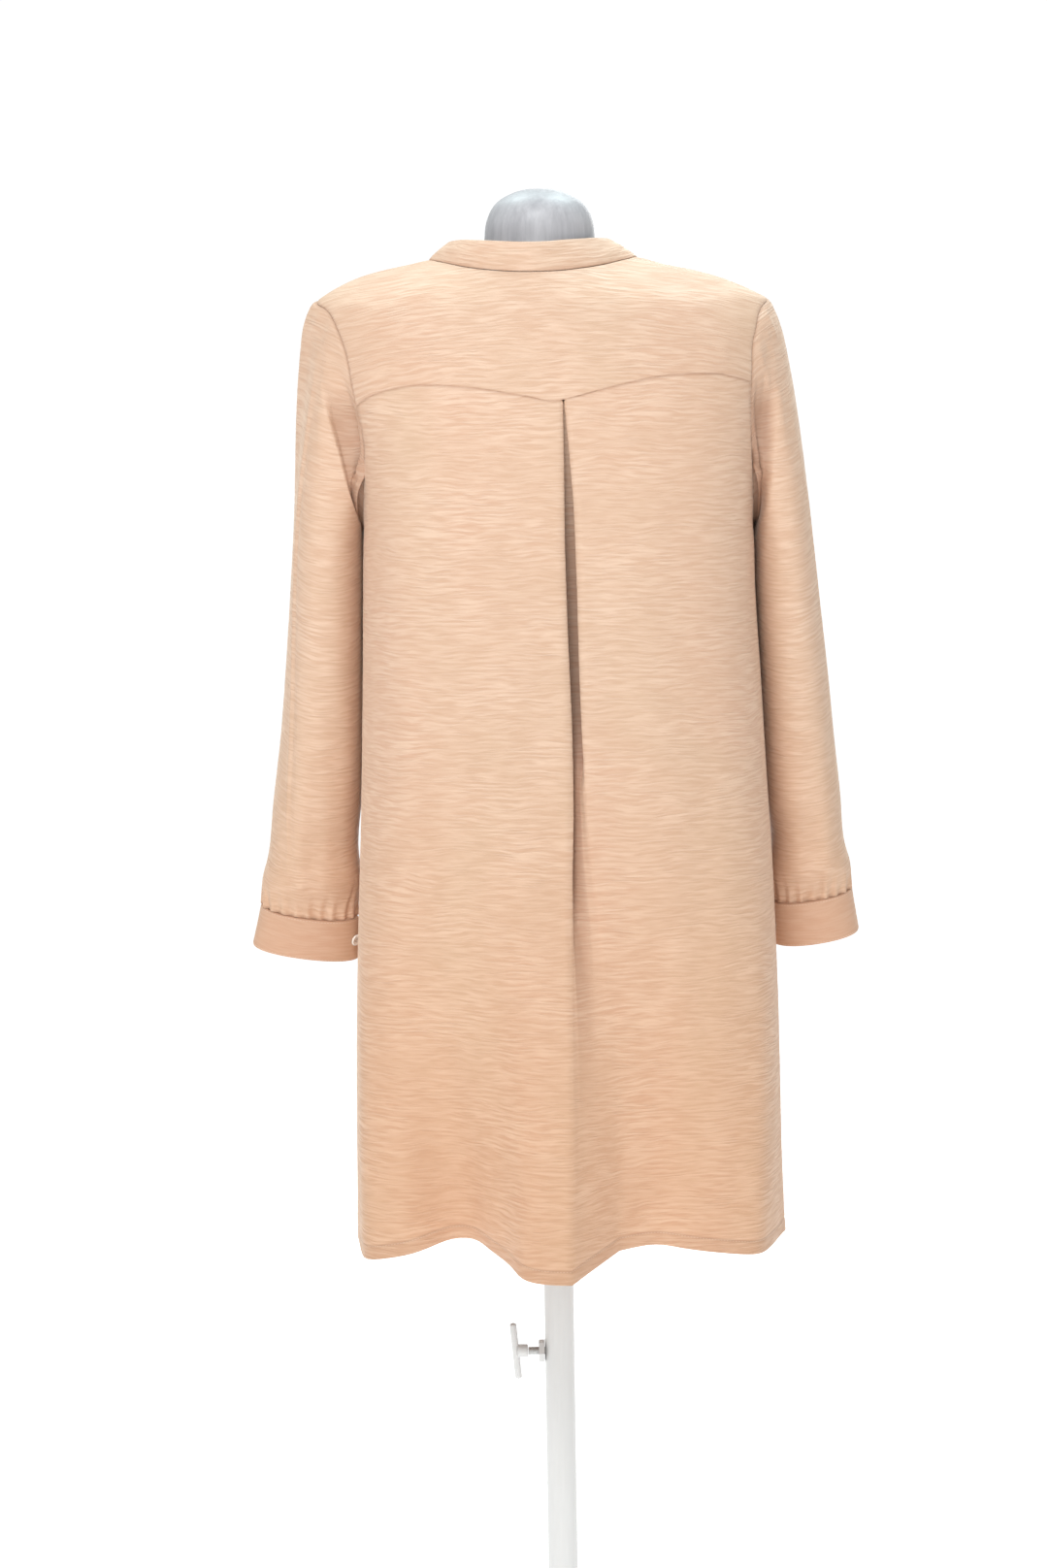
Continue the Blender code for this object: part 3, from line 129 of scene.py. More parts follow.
# Armhole seam: how far down it is, and its angles from the middle of back and front
armhole = table("drop backAngle frontAngle", (
    (0.000, 90.0, 90.0),
    (0.045, 74.0, 73.0),
    (0.115, 64.5, 62.0),
    (0.260, 58.5, 54.0),
    (0.450, 60.5, 52.0),
    (0.660, 65.0, 55.0),
    (0.850, 73.0, 64.0),
    (0.970, 83.0, 79.0),
    (1.000, 90.0, 90.0),
))
underarmHeight = 1.208
tipHeight = {1: 1.4151, -1: 1.4110}  # shoulder tips, left and right


def readRow(rows, name, z):
    return flow(rows["z"], rows[name], z)


def reachOf(s, c, square):  # how far a squared-off oval reaches each way
    return (np.abs(s) ** square + np.abs(c) ** square) ** (-1 / square)


def bodyPoint(angle, z):  # 0 is the middle of the back, 90 degrees the left side
    angle = np.asarray(angle, float)
    z = np.asarray(z, float) + 0 * angle
    angle = angle + 0 * z
    s = np.sin(angle)
    c = np.cos(angle)
    square = np.where(c >= 0, readRow(body, "backSquare", z), readRow(body, "frontSquare", z))
    depth = np.where(c >= 0, readRow(body, "back", z), readRow(body, "front", z))
    reach = reachOf(s, c, square)
    x = readRow(body, "centre", z) + readRow(body, "half", z) * s * reach
    return np.stack([x, depth * c * reach, z], -1)


def bodyNormal(angle, z, aside=0.004, above=0.0006):
    turn = bodyPoint(angle + aside, z) - bodyPoint(angle - aside, z)
    rise = bodyPoint(angle, z + above) - bodyPoint(angle, z - above)
    return unit(np.cross(rise, turn))


def angleAt(x, z, face="back"):
    square = readRow(body, face + "Square", z)
    across = np.clip((x - readRow(body, "centre", z)) / readRow(body, "half", z), -1, 1)
    along = (1 - np.abs(across) ** square) ** (1 / square)
    return np.arctan2(across, along if face == "back" else -along)


def resample(points, values, count, power=1.0):
    length = np.concatenate([[0], np.cumsum(np.linalg.norm(np.diff(points, axis=0), axis=1))])
    at = length[-1] * np.linspace(0, 1, count) ** power
    return [np.interp(at, length, v) for v in values]


def armholePath(side, face):
    row = np.arange(len(armhole["drop"]))
    at = np.linspace(0, row[-1], samples["armhole"])
    z = tipHeight[side] - flow(row, armhole["drop"], at) * (tipHeight[side] - underarmHeight)
    angle = np.radians(flow(row, armhole[face + "Angle"], at))
    if face == "front":
        angle = math.pi - angle
    return side * angle, z


def armholePart(side, face, first, last, count, power=1.0):
    angle, z = armholePath(side, face)
    keep = (z <= first) & (z >= last)
    angle = np.concatenate([[np.interp(-first, -z, angle)], angle[keep],
                            [np.interp(-last, -z, angle)]])
    z = np.concatenate([[first], z[keep], [last]])
    return resample(bodyPoint(angle, z), [angle, z], count, power)


def shoulderLine(side, count):
    z = np.linspace(tipHeight[side], neckSeam["height"], samples["edge"])
    angle = np.full(samples["edge"], side * math.pi / 2)
    return resample(bodyPoint(angle, z), [angle, z], count)


# Neck seam: distance from the neck's middle, and its height behind and in front
neckSeam = table("aside backZ frontZ", (
    (0.0000, 1.4352, 1.3850),
    (0.0200, 1.4358, 1.3872),
    (0.0400, 1.4378, 1.3950),
    (0.0600, 1.4408, 1.4090),
    (0.0770, 1.4450, 1.4270),
    (0.0880, 1.4478, 1.4410),
    (0.0933, 1.4490, 1.4490),
))
neckSeam.update(height=1.4490, middle=0.0071, half=0.0933)


def neckLine(side, face, endX, count):
    turn = np.linspace(0, 1, samples["edge"])
    end = (endX - neckSeam["middle"]) * side
    aside = end + (neckSeam["half"] - end) * np.cos(turn * math.pi / 2)
    z = flow(neckSeam["aside"], neckSeam[face + "Z"], np.abs(aside))
    angle = angleAt(neckSeam["middle"] + side * aside, z, face)
    if face == "front":
        angle = side * np.mod(side * angle, 2 * math.pi)
    return resample(bodyPoint(angle, z), [angle, z], count)


def patch(top, bottom, outer, rows, power=1.0):  # fills in between three edges
    top = np.array(top).T
    bottom = np.array(bottom).T
    outer = np.array(outer).T
    grid = np.zeros((rows + 1, len(top), 2))
    for k in range(rows + 1):
        t = (k / rows) ** power
        straight = top * (1 - t) + bottom * t
        pull = 1 - np.linspace(0, 1, len(top))[:, None]
        grid[k] = straight + pull * (outer[k] - straight[0])
    return grid[:, :, 0], grid[:, :, 1]


def patchAcross(side, face, top, bottom, outer, rows, power=1.0):
    flat = []
    for angle, z in (top, bottom, outer):
        flat.append((bodyPoint(np.asarray(angle), np.asarray(z))[:, 0], z))
    x, z = patch(*flat, rows, power)
    angle = angleAt(x, z, face)
    if face == "front":
        angle = side * np.mod(side * angle, 2 * math.pi)
    angle[0] = top[0]
    angle[-1] = bottom[0]
    angle[:, 0] = outer[0]
    return angle, z


# Finer grids from the few rows and columns that set the shape
def chord(grid):
    steps = np.linalg.norm(np.diff(grid, axis=0), axis=-1).mean(axis=1)
    return np.concatenate([[0], np.cumsum(steps)])


def refine(grid, cells, curve=spline):  # along the first axis
    knots = chord(grid)
    at = np.linspace(0, knots[-1], cells + 1)
    flat = grid.reshape(len(grid), -1)
    if curve is spline:
        made = spline(knots, flat, at)
    else:
        made = np.stack([flow(knots, column, at) for column in flat.T], -1)
    return made.reshape(cells + 1, *grid.shape[1:])


def refineRound(grid, cells, lap=6):  # the same, along an axis that closes on itself
    wrapped = np.concatenate([grid[-lap:], grid, grid[:lap + 1]])
    knots = chord(wrapped)
    at = np.linspace(knots[lap], knots[lap + len(grid)], cells + 1)[:-1]
    made = spline(knots, wrapped.reshape(len(wrapped), -1), at)
    return made.reshape(cells, *grid.shape[1:])


def acrossAxis(work, grid, *settings):
    return np.swapaxes(work(np.swapaxes(grid, 0, 1), *settings), 0, 1)


def ripple(u, v, seed, period=128):  # smooth uneven waves between about -1 and 1
    turns = np.random.default_rng(seed).uniform(0, 2 * math.pi, (period, period))
    i = np.floor(u).astype(int)
    j = np.floor(v).astype(int)
    x = u - i
    y = v - j
    corners = []
    for a, b in ((0, 0), (1, 0), (0, 1), (1, 1)):
        turn = turns[(i + a) % period, (j + b) % period]
        corners.append(np.cos(turn) * (x - a) + np.sin(turn) * (y - b))
    sx = x * x * x * (x * (x * 6 - 15) + 10)
    sy = y * y * y * (y * (y * 6 - 15) + 10)
    low = corners[0] + (corners[1] - corners[0]) * sx
    high = corners[2] + (corners[3] - corners[2]) * sx
    return 1.5 * (low + (high - low) * sy)


# Crinkle of the crepe, as raised ridges that run round the body
crinkle = {"length": 0.040, "spacing": 0.0070, "height": 0.00013, "wander": 0.006,
           "wanderSize": (0.055, 0.035), "fade": 0.75, "fadeMore": 0.45, "fadeSize": (0.09, 0.05),
           "soft": 0.6, "softSize": (0.10, 0.022)}


def crinkled(u, v, seed):
    long, high = crinkle["wanderSize"]
    wander = crinkle["wander"] * ripple(u / long, v / high, seed)
    across = (v + wander) / crinkle["spacing"]
    ridge = 1 - 2 * np.abs(ripple(u / crinkle["length"], across, seed + 1))
    long, high = crinkle["fadeSize"]
    fade = crinkle["fade"] + crinkle["fadeMore"] * ripple(u / long, v / high, seed + 2)
    long, high = crinkle["softSize"]
    soft = ripple(u / long, (v + wander) / high, seed + 3)
    return crinkle["height"] * (ridge * fade + crinkle["soft"] * soft)


foldShape = {"taper": 0.3, "bend": 0.5, "turns": 3}  # how a fold ends and wanders


def softFolds(along, down, rows):  # listed ridges (+) and troughs (-)
    height = np.zeros_like(down)
    for firstX, firstZ, lastX, lastZ, width, rise in rows:
        start = np.array([firstX, firstZ])
        run = np.array([lastX, lastZ]) - start
        length = np.linalg.norm(run)
        run = run / length
        du = along - start[0]
        dv = down - start[1]
        t = (du * run[0] + dv * run[1]) / length
        off = -du * run[1] + dv * run[0]
        off = off + width * foldShape["bend"] * np.sin(foldShape["turns"] * t + firstX * 40)
        taper = ease(t / foldShape["taper"]) * ease((1 - t) / foldShape["taper"])
        height += rise * taper * np.exp(-(off / width) ** 2)
    return height


# Seams: how far the cloth turns under, the allowance felt beside them, and their shade
seam = {"turn": 0.0008, "turnWidth": 0.0018, "rise": 0.00028, "risePlace": 0.0062,
        "riseWidth": 0.0030, "shade": 0.38, "shadeWidth": 0.0006}
shell = {"lift": 0.0006, "thick": 0.0009, "bandLift": 0.0009, "bandThick": 0.0018}


def seamShade(distance):
    return seam["shade"] * np.exp(-(distance / seam["shadeWidth"]) ** 2)


def edgeRoll(distance):
    turned = -seam["turn"] * (1 - np.clip(distance / seam["turnWidth"], 0, 1)) ** 2
    beside = (distance - seam["risePlace"]) / seam["riseWidth"]
    return turned + seam["rise"] * np.exp(-beside ** 2)


def toSides(across):  # distance to the nearer side edge
    return np.minimum(across, across[:, -1:] - across)


def spans(grid):  # distances down and across, along the cloth
    down = np.zeros(grid.shape[:2])
    down[1:] = np.cumsum(np.linalg.norm(np.diff(grid, axis=0), axis=-1), axis=0)
    across = np.zeros(grid.shape[:2])
    across[:, 1:] = np.cumsum(np.linalg.norm(np.diff(grid, axis=1), axis=-1), axis=1)
    return down, across


def gridNormals(grid, closed=False):
    along = np.gradient(grid, axis=0)
    if closed:
        across = np.roll(grid, -1, axis=1) - np.roll(grid, 1, axis=1)
    else:
        across = np.gradient(grid, axis=1)
    return unit(np.cross(along, across))


def addPiece(name, verts, faces, finish, sharp=None):
    mesh = bpy.data.meshes.new(name)
    mesh.from_pydata(np.asarray(verts).tolist(), [], faces)
    mesh.shade_smooth()
    if sharp is not None:
        mesh.set_sharp_from_angle(angle=math.radians(sharp))
    mesh.materials.append(finish)
    made = bpy.data.objects.new(name, mesh)
    bpy.context.scene.collection.objects.link(made)
    return made


def ringFaces(rows, columns):  # four-sided faces round a tube of rings
    faces = []
    for k in range(rows):
        for j in range(columns):
            n = (j + 1) % columns
            faces.append((k * columns + j, k * columns + n,
                          (k + 1) * columns + n, (k + 1) * columns + j))
    return faces


def closedFaces(rows, columns):  # the same with a flat face at both ends
    last = (rows - 1) * columns
    return [tuple(range(columns - 1, -1, -1)), *ringFaces(rows - 1, columns),
            tuple(range(last, last + columns))]


def combine(piece, other, operation):
    step = piece.modifiers.new("combine", "BOOLEAN")
    step.operation = operation
    step.solver = "EXACT"
    step.object = other
    bpy.ops.object.select_all(action="DESELECT")
    bpy.context.view_layer.objects.active = piece
    piece.select_set(True)
    bpy.ops.object.modifier_apply(modifier="combine")
    bpy.data.objects.remove(other, do_unlink=True)


def makeCloth(name, grid, normals, u, v, inner, finish, closed=False, skip=None, shade=None,
              stitch=None):  # a thin closed shell, its outside on the grid
    rows, columns = grid.shape[:2]
    count = rows * columns
    outside = grid.reshape(-1, 3)
    inside = (grid - normals * np.asarray(inner)[..., None]).reshape(-1, 3)
    verts = np.concatenate([outside, inside]) + (neckToPole, 0, 0)
    wide = columns if closed else columns - 1
    k, j = np.meshgrid(np.arange(rows - 1), np.arange(wide), indexing="ij")
    n = (j + 1) % columns
    quads = np.stack([k * columns + j, k * columns + n,
                      (k + 1) * columns + n, (k + 1) * columns + j], -1)
    use = np.ones(k.shape, bool) if skip is None else ~skip[:rows - 1, :wide]
    quads = quads[use]
    a = outside[quads[:, 0]]
    facing = np.cross(outside[quads[:, 1]] - a, outside[quads[:, 3]] - a)
    if np.sum(facing * normals.reshape(-1, 3)[quads[:, 0]]) < 0:
        quads = quads[:, ::-1]
    edges = np.concatenate([quads[:, [i, (i + 1) % 4]] for i in range(4)])
    code = edges[:, 0].astype(np.int64) * count + edges[:, 1]
    back = edges[:, 1].astype(np.int64) * count + edges[:, 0]
    rim = edges[~np.isin(code, back)]
    rims = np.stack([rim[:, 1], rim[:, 0], rim[:, 0] + count, rim[:, 1] + count], -1)
    faces = np.concatenate([quads, quads[:, ::-1] + count, rims])
    made = addPiece(name, verts, faces.tolist(), finish, 60)
    mesh = made.data
    place = np.stack([u.ravel(), v.ravel()], -1)
    place = np.concatenate([place, place])
    loops = np.empty(len(mesh.loops), np.int32)
    mesh.loops.foreach_get("vertex_index", loops)
    spots = place[loops]
    if closed:  # the last strip runs on past the join
        girth = 2 * u[:, -1] - u[:, -2]
        last = loops.reshape(-1, 4) % columns
        join = (last.max(axis=1) == columns - 1) & (last.min(axis=1) == 0)
        corner = np.repeat(join, 4) & (loops % columns == 0)
        spots[corner, 0] = girth[(loops[corner] % count) // columns]
    depth = np.zeros(count) if shade is None else shade.ravel()
    tint = mesh.attributes.new("shade", "FLOAT", "POINT")
    tint.data.foreach_set("value", np.concatenate([depth, depth]).astype(np.float32))
    row = np.ones(count) if stitch is None else stitch.ravel()
    sewn = mesh.attributes.new("stitch", "FLOAT", "POINT")
    sewn.data.foreach_set("value", np.concatenate([row, row]).astype(np.float32))
    layer = mesh.uv_layers.new(name="cloth")
    layer.data.foreach_set("uv", spots.astype(np.float32).ravel())
    return made


# Materials
class Flow:  # a node's output that can be used in sums
    def __init__(self, finish, socket):
        self.finish = finish
        self.socket = socket

    def calc(self, operation, first, second=0.0):
        return self.finish.node("Math", {"operation": operation}, {0: first, 1: second})

    def __add__(self, other):
        return self.calc("ADD", self, other)

    def __radd__(self, other):
        return self.calc("ADD", other, self)

    def __sub__(self, other):
        return self.calc("SUBTRACT", self, other)

    def __rsub__(self, other):
        return self.calc("SUBTRACT", other, self)

    def __mul__(self, other):
        return self.calc("MULTIPLY", self, other)

    def __rmul__(self, other):
        return self.calc("MULTIPLY", other, self)

    def __abs__(self):
        return self.calc("ABSOLUTE", self)

    def sine(self):
        return self.calc("SINE", self)


class Finish:
    def __init__(self, name, colour, roughness, **fixed):
        self.made = bpy.data.materials.new(name)
        self.made.use_nodes = True
        self.tree = self.made.node_tree
        self.skin = self.tree.nodes["Principled BSDF"]
        self.skin.inputs["Base Color"].default_value = (*colour, 1)
        self.skin.inputs["Roughness"].default_value = roughness
        for key, value in fixed.items():
            socket = self.skin.inputs[key.replace("_", " ")]
            socket.default_value = value

    def node(self, kind, settings=None, inputs=None, output=0):
        made = self.tree.nodes.new("ShaderNode" + kind)
        for key, value in (settings or {}).items():
            setattr(made, key, value)
        for key, value in (inputs or {}).items():
            if isinstance(value, Flow):
                self.tree.links.new(value.socket, made.inputs[key])
            else:
                made.inputs[key].default_value = value
        return Flow(self, made.outputs[output])

    def feed(self, key, value):
        self.tree.links.new(value.socket, self.skin.inputs[key])

    def noise(self, place, size, detail=2.0, roughness=0.5):
        scaled = self.node("VectorMath", {"operation": "MULTIPLY"}, {0: place, 1: size})
        return self.node("TexNoise", None, {"Vector": scaled, "Scale": 1.0, "Detail": detail,
                                            "Roughness": roughness})

    def clamp(self, value, low=0.0):
        return self.node("Clamp", None, {0: value, 1: low, 2: 1.0})

    def blend(self, factor, first, second, way="MIX"):  # of two colours
        pair = [tone if isinstance(tone, Flow) else (*tone, 1) for tone in (first, second)]
        return self.node("Mix", {"data_type": "RGBA", "blend_type": way},
                         {0: factor, 6: pair[0], 7: pair[1]}, 2)

    def part(self, place, axis):
        return self.node("SeparateXYZ", None, {0: place}, axis)

    def place(self):
        return self.node("TexCoord", None, None, 3)

    def attribute(self, name):
        return self.node("Attribute", {"attribute_name": name}, None, 2)


# Crinkle crepe: fine ridges across the cloth, a tighter weave, and uneven tone, with painted
# highlights on the ridges in the line colour, painted shade in the inside colour, and painted
# light that makes the cloth paler above and warmer below
crepe = {"base": (0.590, 0.394, 0.270), "warm": (0.606, 0.372, 0.256),
         "line": (0.725, 0.522, 0.388),
         "inside": (0.262, 0.112, 0.062), "low": (1.0, 0.895, 0.800), "thread": (0.80, 0.60, 0.46),
         "sheen": (1.0, 0.88, 0.74, 1), "long": (30.0, 400.0, 1.0), "short": (50.0, 520.0, 1.0),
         "fine": (150.0, 900.0, 1.0), "wander": (15.0, 34.0, 1.0), "patches": (14.0, 20.0, 1.0),
         "bands": (9.0, 1.6, 1.0), "relief": 0.00027, "weave": 6300.0, "stitches": 2240.0,
         "paleAbove": 1.14, "warmBelow": 0.58}


def crest(cloth, place, size):  # thin ridges, each broken off along its length
    return cloth.clamp((cloth.noise(place, size, 1.0) - 0.42) * 6.0)


def crepeFinish(name, crinkling, tint):
    cloth = Finish(name, crepe["base"], 0.62, Sheen_Weight=0.28, Sheen_Roughness=0.45,
                   Sheen_Tint=crepe["sheen"], Specular_IOR_Level=0.40)
    place = cloth.node("UVMap", {"uv_map": "cloth"})
    u = cloth.part(place, 0)
    v = cloth.part(place, 1)
    wander = cloth.noise(place, crepe["wander"])
    waved = cloth.node("CombineXYZ", None, {0: u, 1: v + (wander - 0.5) * 0.012, 2: 0.0})
    long = crest(cloth, waved, crepe["long"])
    short = crest(cloth, waved, crepe["short"])
    fine = cloth.noise(waved, crepe["fine"], 2.0, 0.6)
    grain = (u * crepe["weave"]).sine() * (v * crepe["weave"]).sine()
    patches = cloth.noise(place, crepe["patches"])
    away = abs(cloth.attribute("stitch"))
    dash = cloth.clamp((u * crepe["stitches"]).sine() * 3.0 + 1.3)
    sewn = cloth.clamp(1.4 - away * 3800.0) * dash
    strength = cloth.clamp(patches * 2.0 - 0.30, 0.35) * crinkling
    height = long * strength + short * (0.45 * crinkling) + fine * 0.15 + grain * 0.02
    height = height + sewn * 0.5
    cloth.feed("Normal", cloth.node("Bump", None, {"Strength": 1.0, "Distance": crepe["relief"],
                                                   "Height": height}))
    bands = cloth.clamp(patches * 0.8 + cloth.noise(place, crepe["bands"], 1.0) * 2.2 - 1.0)
    tone = cloth.blend(bands, crepe["base"], crepe["warm"])
    # Painted highlight: the crinkle's ridges are painted lighter, as if lit from above, with some
    # random tone from the fine noise
    paintedCrestLight = long * strength * 0.60 + short * (0.28 * crinkling) + (fine - 0.5) * 0.25
    tone = cloth.blend(cloth.clamp(paintedCrestLight), tone, crepe["line"])
    # Painted light: from paleAbove down to warmBelow the colour is multiplied towards low, so the
    # cloth is painted paler high up, where the light is stronger, and warmer and darker low down
    up = cloth.part(cloth.place(), 2)
    fall = cloth.node("MapRange", {"interpolation_type": "SMOOTHSTEP"},
                      {0: up, 1: crepe["paleAbove"], 2: crepe["warmBelow"], 3: 0.0, 4: 1.0})
    paintedHeightLight = cloth.blend(fall, (1.0, 1.0, 1.0), crepe["low"])
    tone = cloth.blend(1.0, tone, paintedHeightLight, "MULTIPLY")
    # Painted shade: the shade attribute darkens seams, the hem band, the pleat's recess and the
    # fold beside each armhole towards the inside colour
    tone = cloth.blend(cloth.attribute("shade"), tone, crepe["inside"])
    # tint evenly darkens the whole cloth towards the same dark colour, a little on the cuffs
    tone = cloth.blend(tint, tone, crepe["inside"])
    cloth.feed("Base Color", cloth.blend(sewn * 0.5, tone, crepe["thread"]))
    cloth.feed("Roughness", 0.66 - long * 0.12)
    return cloth.made


crepeCloth = crepeFinish("crinkleCrepe", 1.0, 0.0)
cuffCloth = crepeFinish("cuffCrepe", 0.40, 0.07)
print("crepe ready")


def wear(piece, node):
    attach(piece, "form")
    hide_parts(node)


# Back: yoke, then a panel with an inverted box pleat
yoke = {"rows": 8, "leftCells": 15, "rightCells": 12, "leftShoulder": 7, "rightShoulder": 6,
        "ridgePower": 1.25, "spread": 1.04, "tilt": 0.35, "deepest": 0.12, "flat": 0.005,
        "fineRows": 92, "fineColumns": 166}
yokeSeam = table("x z", (
    (-0.182, 1.3362),
    (-0.158, 1.3432),
    (-0.134, 1.3444),
    (-0.103, 1.3427),
    (-0.073, 1.3372),
    (-0.043, 1.3302),
    (-0.017, 1.3240),
    (-0.006, 1.3230),
    (0.016, 1.3273),
    (0.035, 1.3308),
    (0.061, 1.3351),
    (0.106, 1.3383),
    (0.146, 1.3318),
    (0.167, 1.3203),
))
pleat = table("z edge gap fold leftOpen rightOpen layer sink", (
    (0.5450, -0.0150, 0.0440, 0.020, 1.0, 1.0, 0.0000, 0.0000),
    (0.6470, -0.0195, 0.0400, 0.020, 1.00, 1.0, 0.0012, 0.0010),
    (0.7550, -0.0185, 0.0360, 0.020, 1.00, 1.0, 0.0020, 0.0055),
    (0.8120, -0.0174, 0.0320, 0.020, 0.96, 1.0, 0.0022, 0.0105),
    (0.8600, -0.0180, 0.0270, 0.021, 0.80, 1.0, 0.0028, 0.0125),
    (0.9200, -0.0190, 0.0165, 0.022, 0.40, 1.0, 0.0028, 0.0140),
    (0.9500, -0.0195, 0.0135, 0.023, 0.15, 1.0, 0.0029, 0.0140),
    (0.9750, -0.0199, 0.0116, 0.024, 0.00, 1.00, 0.0032, 0.0142),
    (1.0000, -0.0199, 0.0104, 0.025, 0.00, 0.90, 0.0035, 0.0145),
    (1.0300, -0.0197, 0.0092, 0.026, 0.00, 0.35, 0.0036, 0.015),
    (1.1100, -0.0175, 0.0093, 0.028, 0.00, 0.00, 0.0030, 0.015),
    (1.1640, -0.0162, 0.0103, 0.029, 0.00, 0.00, 0.0028, 0.014),
    (1.2180, -0.0156, 0.0095, 0.030, 0.00, 0.00, 0.0026, 0.011),
    (1.2700, -0.0159, 0.0062, 0.030, 0.00, 0.00, 0.0024, 0.006),
    (1.3240, -0.0158, 0.0018, 0.030, 0.00, 0.00, 0.0024, 0.000),
))
pleatCells = 12


def pleatSection(z):
    edge, gap, fold, layer, sink = (readRow(pleat, key, z)
                                    for key in ("edge", "gap", "fold", "layer", "sink"))
    bend = max(layer, 0.0024) / 2
    opened = {1: readRow(pleat, "leftOpen", z), -1: readRow(pleat, "rightOpen", z)}
    other = edge - gap
    step = (gap + 2 * bend) / pleatCells
    left = []
    right = []
    spacing = {1: (0, 0.25, 0.6, 1.6, 3.0, 4.5), -1: (0, 1, 2, 3, 4, 5)}
    fall = {1: (0, 0.45, 1.05, 1.55, 1.80, 1.95), -1: (0, 0.15, 0.52, 1.0, 1.48, 1.85)}
    for side, place, half in ((1, edge, left), (-1, other, right)):
        closed = [bend, 0, bend, fold - bend, fold, fold - bend]
        stacked = [0, 0.5, 1, 1, 1.5, 2]
        for i in range(6):
            shut = place + side * closed[i]
            spread = place + side * (bend - spacing[side][i] * step)
            depth = stacked[i] + (fall[side][i] - stacked[i]) * opened[side]
            depth = depth * layer + sink * (1 - opened[side]) * (0, 0, 0, 0, 0.5, 1)[i]
            half.append((shut + (spread - shut) * opened[side], -depth))
    low = 2 * layer + sink * (1 - max(opened.values()))
    return left + [((edge + other) / 2, -low)] + right[::-1]


foldX = {1: pleatSection(1.324)[0][0], -1: pleatSection(1.324)[-1][0]}


def seamLine(side):
    angle, z = armholePath(side, "back")
    x = bodyPoint(angle, z)[:, 0]
    end = float(z[np.argmin(np.abs(z - flow(yokeSeam["x"], yokeSeam["z"], x)))])
    outer = float(np.interp(-end, -z, angle))
    cells = yoke["leftCells"] if side > 0 else yoke["rightCells"]
    x = np.linspace(bodyPoint(outer, end)[0], foldX[side], cells + 1)
    z = flow(yokeSeam["x"], yokeSeam["z"], x)
    z[0] = end
    return angleAt(x, z), z


seams = {side: seamLine(side) for side in (1, -1)}


def yokeGrid():
    halves = {}
    for side in (1, -1):
        cells = yoke["leftCells"] if side > 0 else yoke["rightCells"]
        shoulder = yoke["leftShoulder"] if side > 0 else yoke["rightShoulder"]
        first = shoulderLine(side, shoulder + 1)
        second = neckLine(side, "back", foldX[side], cells - shoulder + 1)
        top = [np.concatenate([first[i], second[i][1:]]) for i in (0, 1)]
        outer = armholePart(side, "back", tipHeight[side], seams[side][1][0], yoke["rows"] + 1,
                            yoke["ridgePower"])
        halves[side] = patchAcross(side, "back", top, seams[side], outer, yoke["rows"],
                                   yoke["ridgePower"])
    angle = np.concatenate([halves[1][0], halves[-1][0][:, ::-1]], axis=1)
    z = np.concatenate([halves[1][1], halves[-1][1][:, ::-1]], axis=1)
    return bodyPoint(angle, z)


yokePoints = yokeGrid()

back = {"rows": 7, "foldStart": 1.00, "foldPower": 1.6, "hemLevel": 0.545, "hemHeight": 0.0131,
        "levels": (1.150, 1.085, 1.030, 0.990, 0.962, 0.936, 0.910, 0.885, 0.858,
                   0.820, 0.770, 0.715, 0.660, 0.610, 0.562),
        "fineRows": 384, "leftColumns": 46, "pleatColumns": 30, "rightColumns": 40}
hemLeft = table("x y z", (
    (0.1861, 0.000, 0.5470),
    (0.1730, 0.085, 0.5485),
    (0.1350, 0.100, 0.5560),
    (0.0820, 0.072, 0.5650),
    (0.0500, 0.112, 0.5560),
    (0.0220, 0.160, 0.5455),
    (-0.0120, 0.163, 0.5440),
))
hemRight = table("x y z", (
    (-0.0560, 0.106, 0.5590),
    (-0.0880, 0.094, 0.5610),
    (-0.1250, 0.098, 0.5560),
    (-0.1800, 0.088, 0.5480),
    (-0.2165, 0.000, 0.5460),
))


def foldAmount(z, start, low):
    return np.clip((start - z) / (start - low), 0, 1) ** back["foldPower"]


def hemPath(rows, count):
    row = np.arange(len(rows["x"]))
    at = np.linspace(0, row[-1], samples["hem"])
    points = np.stack([flow(row, rows[name], at) for name in ("x", "y", "z")], -1)
    return np.stack(resample(points * (1, 1, 0), list(points.T), count), -1)


